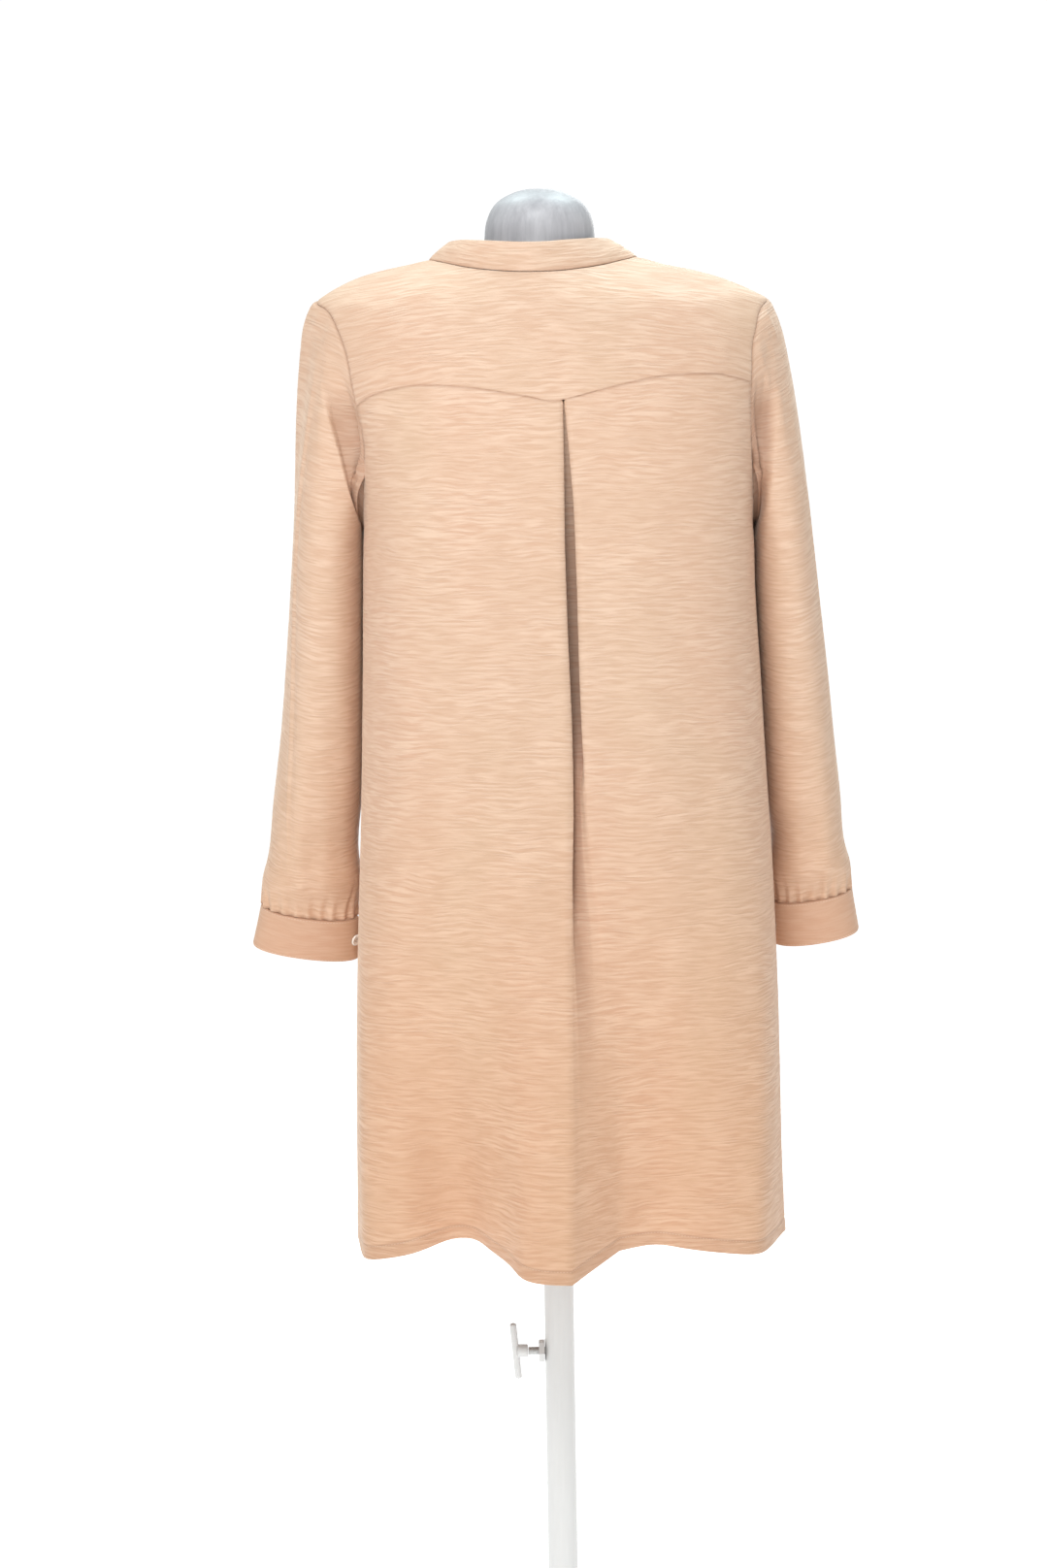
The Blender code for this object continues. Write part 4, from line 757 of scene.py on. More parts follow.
def backGridPoints():
    lowRows = len(back["levels"])
    hems = {1: hemPath(hemLeft, yoke["leftCells"] + 1),
            -1: hemPath(hemRight, yoke["rightCells"] + 1)[::-1]}
    patches = {}
    section = pleatSection(underarmHeight)
    inner = {1: section[0][0], -1: section[-1][0]}
    for side in (1, -1):
        angle, z = seams[side]
        low = np.linspace(side * math.pi / 2, angleAt(inner[side], underarmHeight), len(angle))
        outer = armholePart(side, "back", z[0], underarmHeight, back["rows"] + 1)
        patches[side] = patch((angle, z), (low, np.full(len(angle), underarmHeight)),
                              outer, back["rows"])
    grid = []
    for k in range(back["rows"] + lowRows + 2):
        sides = {}
        step = k - back["rows"]
        for side in (1, -1):
            hem = hems[side]
            if step <= 0:
                angle = patches[side][0][k].copy()
                z = patches[side][1][k]
                edge = pleatSection(z[-1])[0 if side > 0 else -1][0]
                shift = angleAt(edge, z[-1]) - angle[-1]
                angle = angle + shift * np.linspace(0, 1, len(angle)) ** 2
                sides[side] = (bodyPoint(angle, z), z, False)
                continue
            if step <= lowRows:
                reach = underarmHeight - back["levels"][step - 1]
                reach /= underarmHeight - back["levels"][-1]
                z = underarmHeight + (hem[:, 2] + back["hemHeight"] - underarmHeight) * reach
            else:
                z = hem[:, 2]
            edge = pleatSection(z[-1])[0 if side > 0 else -1][0]
            angle = np.linspace(side * math.pi / 2, angleAt(edge, z[-1]), len(hem))
            base = bodyPoint(angle, z)
            amount = foldAmount(z, back["foldStart"], back["hemLevel"])[:, None]
            target = np.stack([hem[:, 0], hem[:, 1], z], -1)
            target[0] = base[0]
            sides[side] = (base + (target - base) * amount, z, True)
        zLeft = sides[1][1][-1]
        zRight = sides[-1][1][-1]
        middle = []
        for i, (x, depth) in enumerate(pleatSection((zLeft + zRight) / 2)[1:-1], 1):
            t = i / pleatCells
            z = zLeft + (zRight - zLeft) * t
            angle = angleAt(x, z)
            spot = bodyPoint(angle, z) + bodyNormal(angle, z) * depth
            if sides[1][2]:
                target = hems[1][-1] + (hems[-1][-1] - hems[1][-1]) * t
                target[2] = z
                amount = float(foldAmount(z, back["foldStart"], back["hemLevel"]))
                spot = spot + (target - spot) * amount
            middle.append(spot)
        grid.append(np.concatenate([sides[1][0], np.array(middle), sides[-1][0][::-1]]))
    return np.array(grid)


backPoints = backGridPoints()

front = {"rows": 15, "lowRows": 10, "cells": 10, "shoulder": 5, "foldStart": 1.06,
         "notchHeight": 1.266, "notchTop": 0.008, "notchLow": 0.004, "reach": 0.175,
         "blend": (-0.35, 1.25), "edgePower": 1.1, "fineRows": 400, "sideColumns": 48}
hemFront = table("x y z", (
    (0.1861, 0.000, 0.5470),
    (0.1720, -0.075, 0.5490),
    (0.1350, -0.118, 0.5520),
    (0.0980, -0.108, 0.5560),
    (0.0550, -0.136, 0.5500),
    (0.0080, -0.122, 0.5540),
    (-0.0450, -0.142, 0.5500),
    (-0.0920, -0.115, 0.5560),
    (-0.1400, -0.125, 0.5520),
    (-0.1900, -0.085, 0.5490),
    (-0.2165, 0.000, 0.5460),
))


def frontGridPoints():
    cells = front["cells"]
    hem = hemPath(hemFront, 2 * cells + 2)
    grid = np.zeros((front["rows"] + front["lowRows"] + 2, 2 * (cells + 1), 3))
    for side in (1, -1):
        first = shoulderLine(side, front["shoulder"] + 1)
        second = neckLine(side, "front", neckSeam["middle"] + side * front["notchTop"],
                          cells - front["shoulder"] + 1)
        top = [np.concatenate([first[i], second[i][1:]]) for i in (0, 1)]
        end = side * (math.pi - front["notchLow"] / front["reach"])
        low = (np.linspace(side * math.pi / 2, end, cells + 1), np.full(cells + 1, underarmHeight))
        outer = armholePart(side, "front", tipHeight[side], underarmHeight, front["rows"] + 1,
                            front["edgePower"])
        across, height = patchAcross(side, "front", top, low, outer, front["rows"],
                                     yoke["ridgePower"])
        around, level = patch(top, low, outer, front["rows"], yoke["ridgePower"])
        fade = ease(np.linspace(*front["blend"], front["rows"] + 1))[:, None]
        angles = across + (around - across) * fade
        heights = height + (level - height) * fade
        line = hem[:cells + 1] if side > 0 else hem[cells + 1:][::-1]
        rows = [bodyPoint(angles[k], heights[k]) for k in range(front["rows"] + 1)]
        for step in range(1, front["lowRows"] + 2):
            if step <= front["lowRows"]:
                low = line[:, 2] + back["hemHeight"]
                z = underarmHeight + (low - underarmHeight) * step / front["lowRows"]
            else:
                z = line[:, 2]
            spread = 1 + step / front["lowRows"]
            end = side * (math.pi - front["notchLow"] / front["reach"] * spread)
            base = bodyPoint(np.linspace(side * math.pi / 2, end, cells + 1), z)
            amount = foldAmount(z, front["foldStart"], back["hemLevel"])[:, None]
            target = np.stack([line[:, 0], line[:, 1], z], -1)
            target[0] = base[0]
            rows.append(base + (target - base) * amount)
        if side > 0:
            grid[:, :cells + 1] = np.array(rows)
        else:
            grid[:, cells + 1:] = np.array(rows)[:, ::-1]
    return grid


frontPoints = frontGridPoints()
print("blouse worked out")


def outwardNormals(grid, centre=(0.0, 0.0)):
    normals = gridNormals(grid)
    away = (grid - (centre[0], centre[1], 0)) * (1, 1, 0)
    if np.sum(normals * away) < 0:
        normals = -normals
    return normals


def finishYoke():
    grid = refine(acrossAxis(refine, yokePoints, yoke["fineColumns"]), yoke["fineRows"])
    normals = outwardNormals(grid)
    down, across = spans(grid)
    middle = grid[..., 0] * yoke["spread"]
    edge = np.minimum(np.minimum(down, down[-1] - down), toSides(across))
    level = grid[..., 2] + yoke["tilt"] * (yoke["deepest"] - grid[..., 1])
    lift = shell["lift"] + edgeRoll(edge)
    lift += crinkled(middle, -level, 11) * ease(edge / yoke["flat"])
    lift += softFolds(grid[..., 0], grid[..., 2], yokeFolds)
    made = makeCloth("yoke", grid + normals * lift[..., None], normals, middle, level,
                     shell["thick"] + 0 * down, crepeCloth, shade=seamShade(edge))
    wear(made, "back_yoke")


yokeFolds = (
    (0.150, 1.405, 0.060, 1.425, 0.010, 0.0012),
    (-0.160, 1.400, -0.075, 1.424, 0.011, 0.0012),
    (0.165, 1.365, 0.120, 1.345, 0.008, 0.0010),
    (-0.170, 1.372, -0.130, 1.350, 0.009, 0.0010),
)
finishYoke()


# Turned-up hem: its height, its row of stitches and the groove that they pull
hem = {"turn": 0.0128, "step": 0.0008, "stitch": 0.0118, "groove": 0.0122, "depth": 0.00045,
       "width": 0.0013, "pucker": 0.00035, "puckerSize": (0.014, 0.05), "puckerWidth": 0.012,
       "flat": 0.02, "shade": 0.12, "lineShade": 0.34}


def hemTurned(low):
    return ease((hem["turn"] - low) / hem["step"])


def hemShade(low):
    line = np.exp(-((low - hem["turn"]) / hem["step"]) ** 2)
    return hem["shade"] * hemTurned(low) + hem["lineShade"] * line


def hemStitch(low, along, seed):
    away = low - hem["groove"]
    long, high = hem["puckerSize"]
    pucker = hem["pucker"] * ripple(along / long, low / high, seed)
    pucker = pucker * np.exp(-(away / hem["puckerWidth"]) ** 2)
    return pucker - hem["depth"] * np.exp(-(away / hem["width"]) ** 2)


def makePanel(name, grid, middle, low, rolled, shade, folds, seed, skip=None):
    normals = outwardNormals(grid)
    level = grid[..., 2]
    lift = shell["lift"] + edgeRoll(rolled)
    lift += crinkled(middle, -level, seed) * ease(low / hem["flat"])
    lift += softFolds(grid[..., 0], level, folds)
    lift += hemStitch(low, middle, seed + 10)
    return makeCloth(name, grid + normals * lift[..., None], normals, middle, level,
                     shell["thick"] * (1 + hemTurned(low)), crepeCloth, skip=skip,
                     shade=np.maximum(shade, hemShade(low)), stitch=low - hem["stitch"])


# Painted shade inside the pleat: its strength, and the columns over which it fades at each side
pleatShade = {"closed": 0.47, "opened": 0.22, "deepest": 0.015, "inset": 2, "left": 5,
              "right": 5, "rightOpen": 6, "bothOpen": 20}


def finishBack():
    columns = backPoints.shape[1]
    left = yoke["leftCells"]
    right = left + pleatCells
    parts = ((0, left, back["leftColumns"], spline), (left, right, back["pleatColumns"], flow),
             (right, columns - 1, back["rightColumns"], spline))
    wide = []
    for first, last, cells, curve in parts:
        piece = acrossAxis(refine, backPoints[:, first:last + 1], cells, curve)
        wide.append(piece if first == 0 else piece[:, 1:])
    grid = refine(np.concatenate(wide, axis=1), back["fineRows"])
    down, across = spans(grid)
    start = back["leftColumns"] + back["pleatColumns"] // 2
    middle = across - across[:, start][:, None]
    edge = np.minimum(down, toSides(across))
    inside = np.arange(down.shape[1]) - back["leftColumns"] - pleatShade["inset"]
    far = back["pleatColumns"] - 2 * pleatShade["inset"] - inside
    rowLevel = np.clip(grid[..., 2], pleat["z"][0], pleat["z"][-1])
    rightOpen = readRow(pleat, "rightOpen", rowLevel)
    bothOpen = rightOpen * readRow(pleat, "leftOpen", rowLevel)
    fade = pleatShade["right"] + pleatShade["rightOpen"] * rightOpen
    fade = fade + pleatShade["bothOpen"] * bothOpen
    # Painted shade in the pleat's recess, set by the pleat's sink column, darkest beside the left
    # fold and fading across the columns
    paintedPleatShade = (pleatShade["closed"] + pleatShade["opened"] * rightOpen) / pleatShade["deepest"]
    paintedPleatShade = paintedPleatShade * readRow(pleat, "sink", rowLevel)
    paintedPleatShade = paintedPleatShade * ease(inside / pleatShade["left"]) * ease(far / fade)
    made = makePanel("backPanel", grid, middle, down[-1] - down, edge,
                     np.maximum(seamShade(edge), paintedPleatShade), backFolds, 21)
    wear(made, "back_panel")


backFolds = (
    (0.120, 1.300, 0.135, 0.900, 0.016, 0.0016),
    (0.060, 1.180, 0.075, 0.640, 0.020, -0.0018),
    (-0.085, 1.290, -0.105, 0.760, 0.018, 0.0014),
    (-0.125, 1.120, -0.140, 0.640, 0.014, -0.0014),
    (0.025, 1.000, 0.035, 0.620, 0.013, 0.0014),
)
finishBack()
print("back done")


def finishFront():
    cells = front["cells"]
    n = front["sideColumns"]
    wide = np.concatenate([acrossAxis(refine, frontPoints[:, :cells + 1], n),
                           acrossAxis(refine, frontPoints[:, cells + 1:], n)], axis=1)
    mid = (wide[:, n] + wide[:, n + 1]) / 2
    wide = np.insert(wide, n + 1, mid, axis=1)
    grid = refine(wide, front["fineRows"])
    down, across = spans(grid)
    middle = across - across[:, n + 1][:, None]
    opened = grid[:, n + 1, 2] > front["notchHeight"]
    edge = np.minimum(down, toSides(across))
    beside = np.abs(middle) - np.abs(middle[:, n])[:, None]
    slit = np.where(opened[:, None], np.clip(beside, 0, 1), 1.0)
    skip = np.zeros(grid.shape[:2], bool)
    skip[:, n:n + 2] = opened[:, None]
    made = makePanel("frontPanel", grid, middle, down[-1] - down, np.minimum(edge, slit),
                     seamShade(edge), frontFolds, 41, skip)
    wear(made, "front_panel")


frontFolds = (
    (0.100, 1.300, 0.120, 0.980, 0.018, 0.0016),
    (-0.095, 1.310, -0.115, 0.900, 0.017, 0.0016),
    (0.050, 1.100, 0.062, 0.640, 0.016, -0.0016),
    (-0.030, 1.180, -0.040, 0.700, 0.020, 0.0015),
    (0.160, 1.345, 0.120, 1.275, 0.010, 0.0014),
    (-0.165, 1.350, -0.125, 1.280, 0.010, 0.0014),
)
finishFront()
print("front done")

band = {"round": 0.0022, "drop": 0.0007, "flat": 0.004, "stitch": 0.0016}  # free edges


def makeBand(name, grid, normals, sizes, folds, seed, finish, way=1):  # collar or cuff
    down, across = spans(grid)
    high = down[-1] - down
    free = np.minimum(high, toSides(across))
    rounded = (1 - np.clip(free / band["round"], 0, 1)) ** 2
    lift = shell["bandLift"] + sizes["roll"] * edgeRoll(down) - band["drop"] * rounded
    lift += crinkled(across, down, seed) * sizes["crinkle"] * ease(free / band["flat"])
    lift += softFolds(across, down, folds)
    sewn = high if way > 0 else np.minimum(down, high)
    return makeCloth(name, grid + normals * lift[..., None], normals, across, way * down,
                     shell["bandThick"] - sizes["thin"] * rounded, finish,
                     shade=seamShade(down), stitch=sewn - band["stitch"])


# Stand collar, open over the notch and leaning in
collar = {"backRise": 0.0262, "frontRise": 0.0270, "sideRise": 0.0165, "topMiddle": 0.0102,
          "width": 0.755, "back": 0.875, "front": 0.885, "gap": 0.0004,
          "swell": ((0.2, 0.0008), (0.55, 0.0012), (1.0, 0.0)), "roll": 0.5, "crinkle": 0.8,
          "thin": 0.0012, "fineRows": 22, "fineColumns": 236}


def finishCollar():
    f = front["cells"]
    s = front["shoulder"]
    leftFront = frontPoints[0, s:f + 1]
    rightFront = frontPoints[0, f + 1:-s]
    behind = yokePoints[0, yoke["leftShoulder"]:yokePoints.shape[1] - yoke["rightShoulder"]]
    loop = np.concatenate([leftFront[::-1], behind[1:-1], rightFront[::-1]])
    across = loop[:, 0] - neckSeam["middle"]
    side = np.clip(np.abs(across) / neckSeam["half"], 0, 1)
    rear = loop[:, 1] > 0
    rise = np.where(rear, collar["backRise"], collar["frontRise"])
    rise = rise + (collar["sideRise"] - rise) * side ** 3
    depth = loop[:, 1] * np.where(rear, collar["back"], collar["front"])
    top = np.stack([collar["topMiddle"] + across * collar["width"], depth, loop[:, 2] + rise], -1)
    base = loop + unit(top - loop) * collar["gap"]
    rows = [base]
    for t, swell in collar["swell"]:
        rows.append(base + (top - base) * t + unit(loop * (1, 1, 0)) * swell)
    grid = refine(acrossAxis(refine, np.array(rows), collar["fineColumns"]), collar["fineRows"])
    normals = outwardNormals(grid, centre=(0.008, 0.0))
    made = makeBand("collarBand", grid, normals, collar, collarFolds, 61, crepeCloth)
    wear(made, "collar")


collarFolds = (
    (0.20, 0.006, 0.27, 0.020, 0.0045, 0.0008),
    (0.23, 0.020, 0.31, 0.008, 0.0050, -0.0007),
    (0.14, 0.010, 0.19, 0.018, 0.0040, 0.0006),
    (0.33, 0.008, 0.38, 0.016, 0.0045, 0.0006),
)
finishCollar()
print("collar done")

# Sleeves, gathered into their cuffs
sleeveRows = {
    1: table("z outer inner y halfDepth", (
        (0.900, 0.2640, 0.1792, -0.040, 0.041),
        (0.950, 0.2567, 0.1762, -0.034, 0.050),
        (1.015, 0.2476, 0.1712, -0.028, 0.056),
        (1.080, 0.2402, 0.1692, -0.021, 0.060),
        (1.140, 0.2345, 0.1676, -0.014, 0.062),
        (1.190, 0.2300, 0.1664, -0.008, 0.062),
    )),
    -1: table("z outer inner y halfDepth", (
        (0.905, 0.2762, 0.2078, -0.042, 0.046),
        (0.950, 0.2710, 0.2035, -0.036, 0.052),
        (1.015, 0.2640, 0.1990, -0.029, 0.057),
        (1.080, 0.2570, 0.1962, -0.021, 0.061),
        (1.140, 0.2498, 0.1922, -0.014, 0.063),
        (1.190, 0.2440, 0.1900, -0.008, 0.063),
    )),
}
sleeve = {"square": 2.25, "head": {1: 0.32, -1: 0.42}, "headCells": 6, "headLow": 1.190,
          "levels": (1.130, 1.065, 1.000, 0.945), "gathers": 20, "gatherDepth": 0.0019,
          "gatherRise": 0.045, "gatherFade": 0.045, "sway": 1.3, "uneven": 0.45, "gap": 0.0003,
          "proud": (0.0045, -0.0033), "aside": 0.0035, "second": (0.0015, 0.0009),
          "foldFrom": 0.36, "foldRun": 0.4, "foldSpread": 1.7, "spacing": 1.15, "leaving": 0.5,
          "arriving": 0.9, "wrist": (0.38, 0.70, 0.90, 1.0), "wristSwell": 0.0025,
          "headRows": 60, "fineRows": 214, "fineColumns": 156}
cuff = {
    1: {"x": 0.2262, "y": -0.040, "z": 0.8520, "half": 0.0443, "halfLow": 0.0487,
        "depth": 0.0225, "depthLow": 0.0205, "splay": 8.0, "lean": 15.0},
    -1: {"x": 0.2442, "y": -0.044, "z": 0.8600, "half": 0.0380, "halfLow": 0.0395,
         "depth": 0.0300, "depthLow": 0.0290, "splay": 8.0, "lean": 8.0},
    "height": 0.0425, "square": 2.2, "lapStart": 142.0, "lapEnd": 172.0, "lapRise": 0.0022,
    "lapFrom": 310.0, "lapRun": 186.0, "buttonAngle": 156.0, "roll": 0.4, "crinkle": 0.6,
    "thin": 0.0010, "fineRows": 30, "fineColumns": 150,
}


def cuffFrame(side):
    sizes = cuff[side]
    splay = math.radians(sizes["splay"])
    lean = math.radians(sizes["lean"])
    across = np.array([math.cos(splay) * side, 0, math.sin(splay)])
    rear = np.array([0, math.cos(lean), -math.sin(lean)])
    up = unit(np.cross(across, rear)) * side
    rear = unit(np.cross(up, across)) * side
    return np.array([sizes["x"] * side, sizes["y"], sizes["z"]]), across, rear, up


def oval(angle, half, depth, square):
    s = np.sin(angle)
    c = np.cos(angle)
    reach = reachOf(s, c, square)
    return half * c * reach, depth * s * reach


def sleeveGridPoints(side):
    rows = sleeveRows[side]
    column = 0 if side > 0 else -1
    half = front["rows"]  # the seam's points down the back, and as many up the front
    loop = np.concatenate([yokePoints[:, column], backPoints[1:back["rows"] + 1, column],
                           frontPoints[1:half, column][::-1]])
    normals = armholeNormals(loop)
    along = unit(unit(np.roll(loop, -1, axis=0) - loop) + unit(loop - np.roll(loop, 1, axis=0)))
    out = unit(np.cross(along, normals))
    if np.sum(out * (loop.mean(axis=0) - loop)) < 0:
        out = -out
    ring = loop + out * sleeve["gap"]
    lengths = np.linalg.norm(np.roll(loop, -1, axis=0) - loop, axis=1)
    turn = np.zeros(len(loop))
    halfBack = np.cumsum(np.concatenate([[0], lengths[:half]]))
    halfFront = np.cumsum(np.concatenate([[0], lengths[half:]]))
    turn[:half + 1] = halfBack / halfBack[-1] * math.pi
    turn[half:] = math.pi + halfFront[:-1] / halfFront[-1] * math.pi

    def tube(z):
        outer = readRow(rows, "outer", z)
        inner = readRow(rows, "inner", z)
        x, y = oval(turn, (outer - inner) / 2, readRow(rows, "halfDepth", z), sleeve["square"])
        x = side * ((outer + inner) / 2 + x)
        return np.stack([x, readRow(rows, "y", z) + y, z + 0 * x], -1)

    first = tube(sleeve["headLow"])
    downward = unit(tube(sleeve["headLow"] - 0.030) - first)
    span = np.linalg.norm(first - ring, axis=1)[:, None]
    fold = 0.5 - np.sum(out * unit(first - ring), axis=1)[:, None] / 2
    fold = ease((fold - sleeve["foldFrom"]) / sleeve["foldRun"])
    aside = np.clip(fold * sleeve["foldSpread"], 0, 1)
    proud, less = sleeve["proud"]
    begin = ring + out * (proud + less * aside) + normals * sleeve["aside"] * aside
    leave = out * sleeve["head"][side] * (1 - fold) + downward * sleeve["leaving"] * fold
    grid = [ring, ring + out * sleeve["second"][0] + normals * sleeve["second"][1] * aside]
    for k in range(sleeve["headCells"] + 1):
        t = (k / sleeve["headCells"]) ** sleeve["spacing"]
        t2 = t * t
        t3 = t2 * t
        spots = (2 * t3 - 3 * t2 + 1) * begin + (3 * t2 - 2 * t3) * first
        spots = spots + (t3 - 2 * t2 + t) * leave * span
        grid.append(spots + (t3 - t2) * downward * span * sleeve["arriving"])
    low = rows["z"][0]
    grid += [tube(z) for z in (*sleeve["levels"], low)]
    middle, across, rear, up = cuffFrame(side)
    sizes = cuff[side]
    start = grid[-1]
    x, y = oval(turn, sizes["half"], sizes["depth"], cuff["square"])
    goal = middle + x[:, None] * across + y[:, None] * rear + up * 0.0003
    away = unit(goal - middle)
    for t in sleeve["wrist"]:
        spots = start + (goal - start) * ease(t)
        spots[:, 2] = (start + (goal - start) * t)[:, 2]
        swell = sleeve["wristSwell"] * math.sin(math.pi * min(t * 1.15, 1.0)) ** 2
        grid.append(spots + away * swell)
    return np.array(grid)


def armholeNormals(loop):
    face = np.where(loop[:, 1] >= 0, 1, -1)
    normals = np.zeros_like(loop)
    for i, point in enumerate(loop):
        angle = angleAt(point[0], point[2], "back" if face[i] > 0 else "front")
        normals[i] = bodyNormal(angle, point[2])
    return normals


def finishSleeve(side):
    name = "Left" if side > 0 else "Right"
    grid = refine(sleeveGridPoints(side), sleeve["fineRows"])
    grid = acrossAxis(refineRound, grid, sleeve["fineColumns"])
    normals = gridNormals(grid, True)
    middle = grid.mean(axis=1, keepdims=True)
    if np.sum((normals * (grid - middle))[sleeve["headRows"]:]) < 0:
        normals = -normals
    down, across = spans(grid)
    girth = across[:, -1:] + np.linalg.norm(grid[:, :1] - grid[:, -1:], axis=-1)
    share = across / girth
    low = down[-1] - down
    u = share * girth.mean()
    sway = sleeve["sway"] * ripple(share * 6, low * 0 + 3, 71 + side)
    wave = np.cos(share * 2 * math.pi * sleeve["gathers"] + sway)
    uneven = 1 + sleeve["uneven"] * ripple(share * 9, low * 12, 73 + side)
    top = sleeve["gatherRise"] * (0.75 + 0.5 * ripple(share * 20, low * 0, 75 + side))
    rise = ease((top - low) / sleeve["gatherFade"])
    lift = shell["lift"] + sleeve["gatherDepth"] * rise ** 1.1 * wave * uneven
    lift += edgeRoll(down) + crinkled(u, -low, 81 + side) * ease(low / 0.01) * ease(down / 0.004)
    perDegree = girth.mean() / 360
    rows = [(a * perDegree, top, b * perDegree, bottom, wide * perDegree, rise)
            for a, top, b, bottom, wide, rise in sleeveFolds[side]]
    lift += softFolds(u, down, rows)
    tuck = sleeveTuck[side]
    lift -= tuck["depth"] * tucked(grid, down, tuck, "sunk", 0.002)
    # Painted shade in the fold beside the armhole, on top of the seams' painted shade
    shade = np.maximum(np.maximum(seamShade(down), seamShade(low)),
                       tuck["shade"] * tucked(grid, down, tuck, "shaded", -0.004))
    made = makeCloth("sleeve" + name, grid + normals * lift[..., None], normals, u, low,
                     shell["thick"] + 0 * down, crepeCloth, closed=True, shade=shade)
    wear(made, "sleeve_" + name.lower())


sleeveTuck = {  # where the cloth beside the armhole sinks behind a fold and where painted shade darkens it, by height and reach
    1: {"z": (1.190, 1.2116, 1.2429, 1.2813, 1.3099, 1.350),
        "sunk": (0.155, 0.1665, 0.1744, 0.1832, 0.1912, 0.199),
        "shaded": (0.155, 0.1665, 0.1744, 0.1832, 0.1912, 0.199),
        "soft": 0.0022, "depth": 0.0070, "shade": 0.36},
    -1: {"z": (1.150, 1.180, 1.198, 1.2200, 1.2563, 1.3099, 1.350),
         "sunk": (0.180, 0.186, 0.1925, 0.1990, 0.2055, 0.2100, 0.214),
         "shaded": (0.1975, 0.1998, 0.2012, 0.2032, 0.2058, 0.2085, 0.213),
         "soft": 0.0105, "depth": 0.0040, "shade": 0.56},
}


tuckFade = {"rear": 0.010, "top": 0.045, "seam": 0.007}


def tucked(grid, down, row, kind, start):
    line = np.interp(grid[..., 2], row["z"], row[kind])
    rear = grid[..., 1] - grid[..., 1].mean(axis=1, keepdims=True)
    inward = ease((line - np.abs(grid[..., 0])) / row["soft"]) * ease(rear / tuckFade["rear"])
    inward = inward * ease((row["z"][-1] - grid[..., 2]) / tuckFade["top"])
    return inward * ease((down - start) / tuckFade["seam"])


sleeveFolds = {  # first and last angle in degrees with their distance from the armhole
    1: (
        (28.0, 0.000, 66.0, 0.545, 2.6, 0.0016),
        (34.0, 0.000, 71.0, 0.545, 3.4, -0.0009),
        (14.0, 0.000, 16.0, 0.030, 3.5, 0.0014),
        (24.0, 0.000, 30.0, 0.034, 3.5, -0.0011),
        (110.0, 0.200, 122.0, 0.420, 16.0, -0.0012),
        (30.0, 0.000, 62.0, 0.100, 8.0, 0.0011),
        (70.0, 0.310, 86.0, 0.520, 12.0, 0.0012),
        (105.0, 0.330, 92.0, 0.520, 12.0, -0.0012),
        (205.0, 0.100, 220.0, 0.400, 14.0, 0.0022),
        (262.0, 0.060, 250.0, 0.460, 13.0, -0.0020),
        (312.0, 0.030, 322.0, 0.500, 9.0, 0.0012),
        (285.0, 0.010, 262.0, 0.120, 9.0, 0.0014),
    ),
    -1: (
        (36.0, 0.020, 40.0, 0.500, 5.0, 0.0006),
        (10.0, 0.013, 104.0, 0.015, 7.0, 0.0014),
        (20.0, 0.000, 25.0, 0.032, 3.5, 0.0015),
        (34.0, 0.000, 44.0, 0.038, 4.0, -0.0012),
        (48.0, 0.000, 58.0, 0.036, 4.0, 0.0012),
        (28.0, 0.000, 58.0, 0.090, 8.0, 0.0012),
        (66.0, 0.330, 80.0, 0.520, 12.0, 0.0012),
        (100.0, 0.350, 90.0, 0.520, 12.0, -0.0010),
        (205.0, 0.120, 225.0, 0.420, 14.0, 0.0022),
        (265.0, 0.090, 255.0, 0.470, 13.0, -0.0020),
        (315.0, 0.030, 328.0, 0.480, 9.0, 0.0012),
        (288.0, 0.010, 266.0, 0.130, 9.0, 0.0014),
    ),
}


def cuffSurface(side):
    middle, across, rear, up = cuffFrame(side)
    sizes = cuff[side]
    turn = np.radians(np.linspace(cuff["lapStart"], 360 + cuff["lapEnd"], cuff["fineColumns"] + 1))
    lapped = np.clip((np.degrees(turn) - cuff["lapFrom"]) / cuff["lapRun"], 0, 1)
    offset = cuff["lapRise"] * ease(lapped)
    grid = []
    normal = []
    for t in np.linspace(0, 1, cuff["fineRows"] + 1):
        half = sizes["half"] + (sizes["halfLow"] - sizes["half"]) * t
        depth = sizes["depth"] + (sizes["depthLow"] - sizes["depth"]) * t
        x, y = oval(turn, half, depth, cuff["square"])
        nx = np.gradient(y)
        ny = -np.gradient(x)
        long = np.hypot(nx, ny)
        away = (nx / long)[:, None] * across + (ny / long)[:, None] * rear
        spots = middle + x[:, None] * across + y[:, None] * rear - up * cuff["height"] * t
        grid.append(spots + away * offset[:, None])
        normal.append(away)
    return np.array(grid), np.array(normal)


def finishCuff(side):
    name = "Left" if side > 0 else "Right"
    grid, normals = cuffSurface(side)
    made = makeBand("cuff" + name, grid, normals, cuff, cuffFolds, 91 + side, cuffCloth, -1)
    wear(made, "cuff_" + name.lower())


cuffFolds = (
    (0.02, 0.010, 0.06, 0.032, 0.005, 0.0007),
    (0.09, 0.034, 0.13, 0.012, 0.006, -0.0006),
    (0.15, 0.014, 0.19, 0.030, 0.005, 0.0006),
)
for side in (1, -1):
    finishSleeve(side)
    finishCuff(side)
print("sleeves and cuffs done")

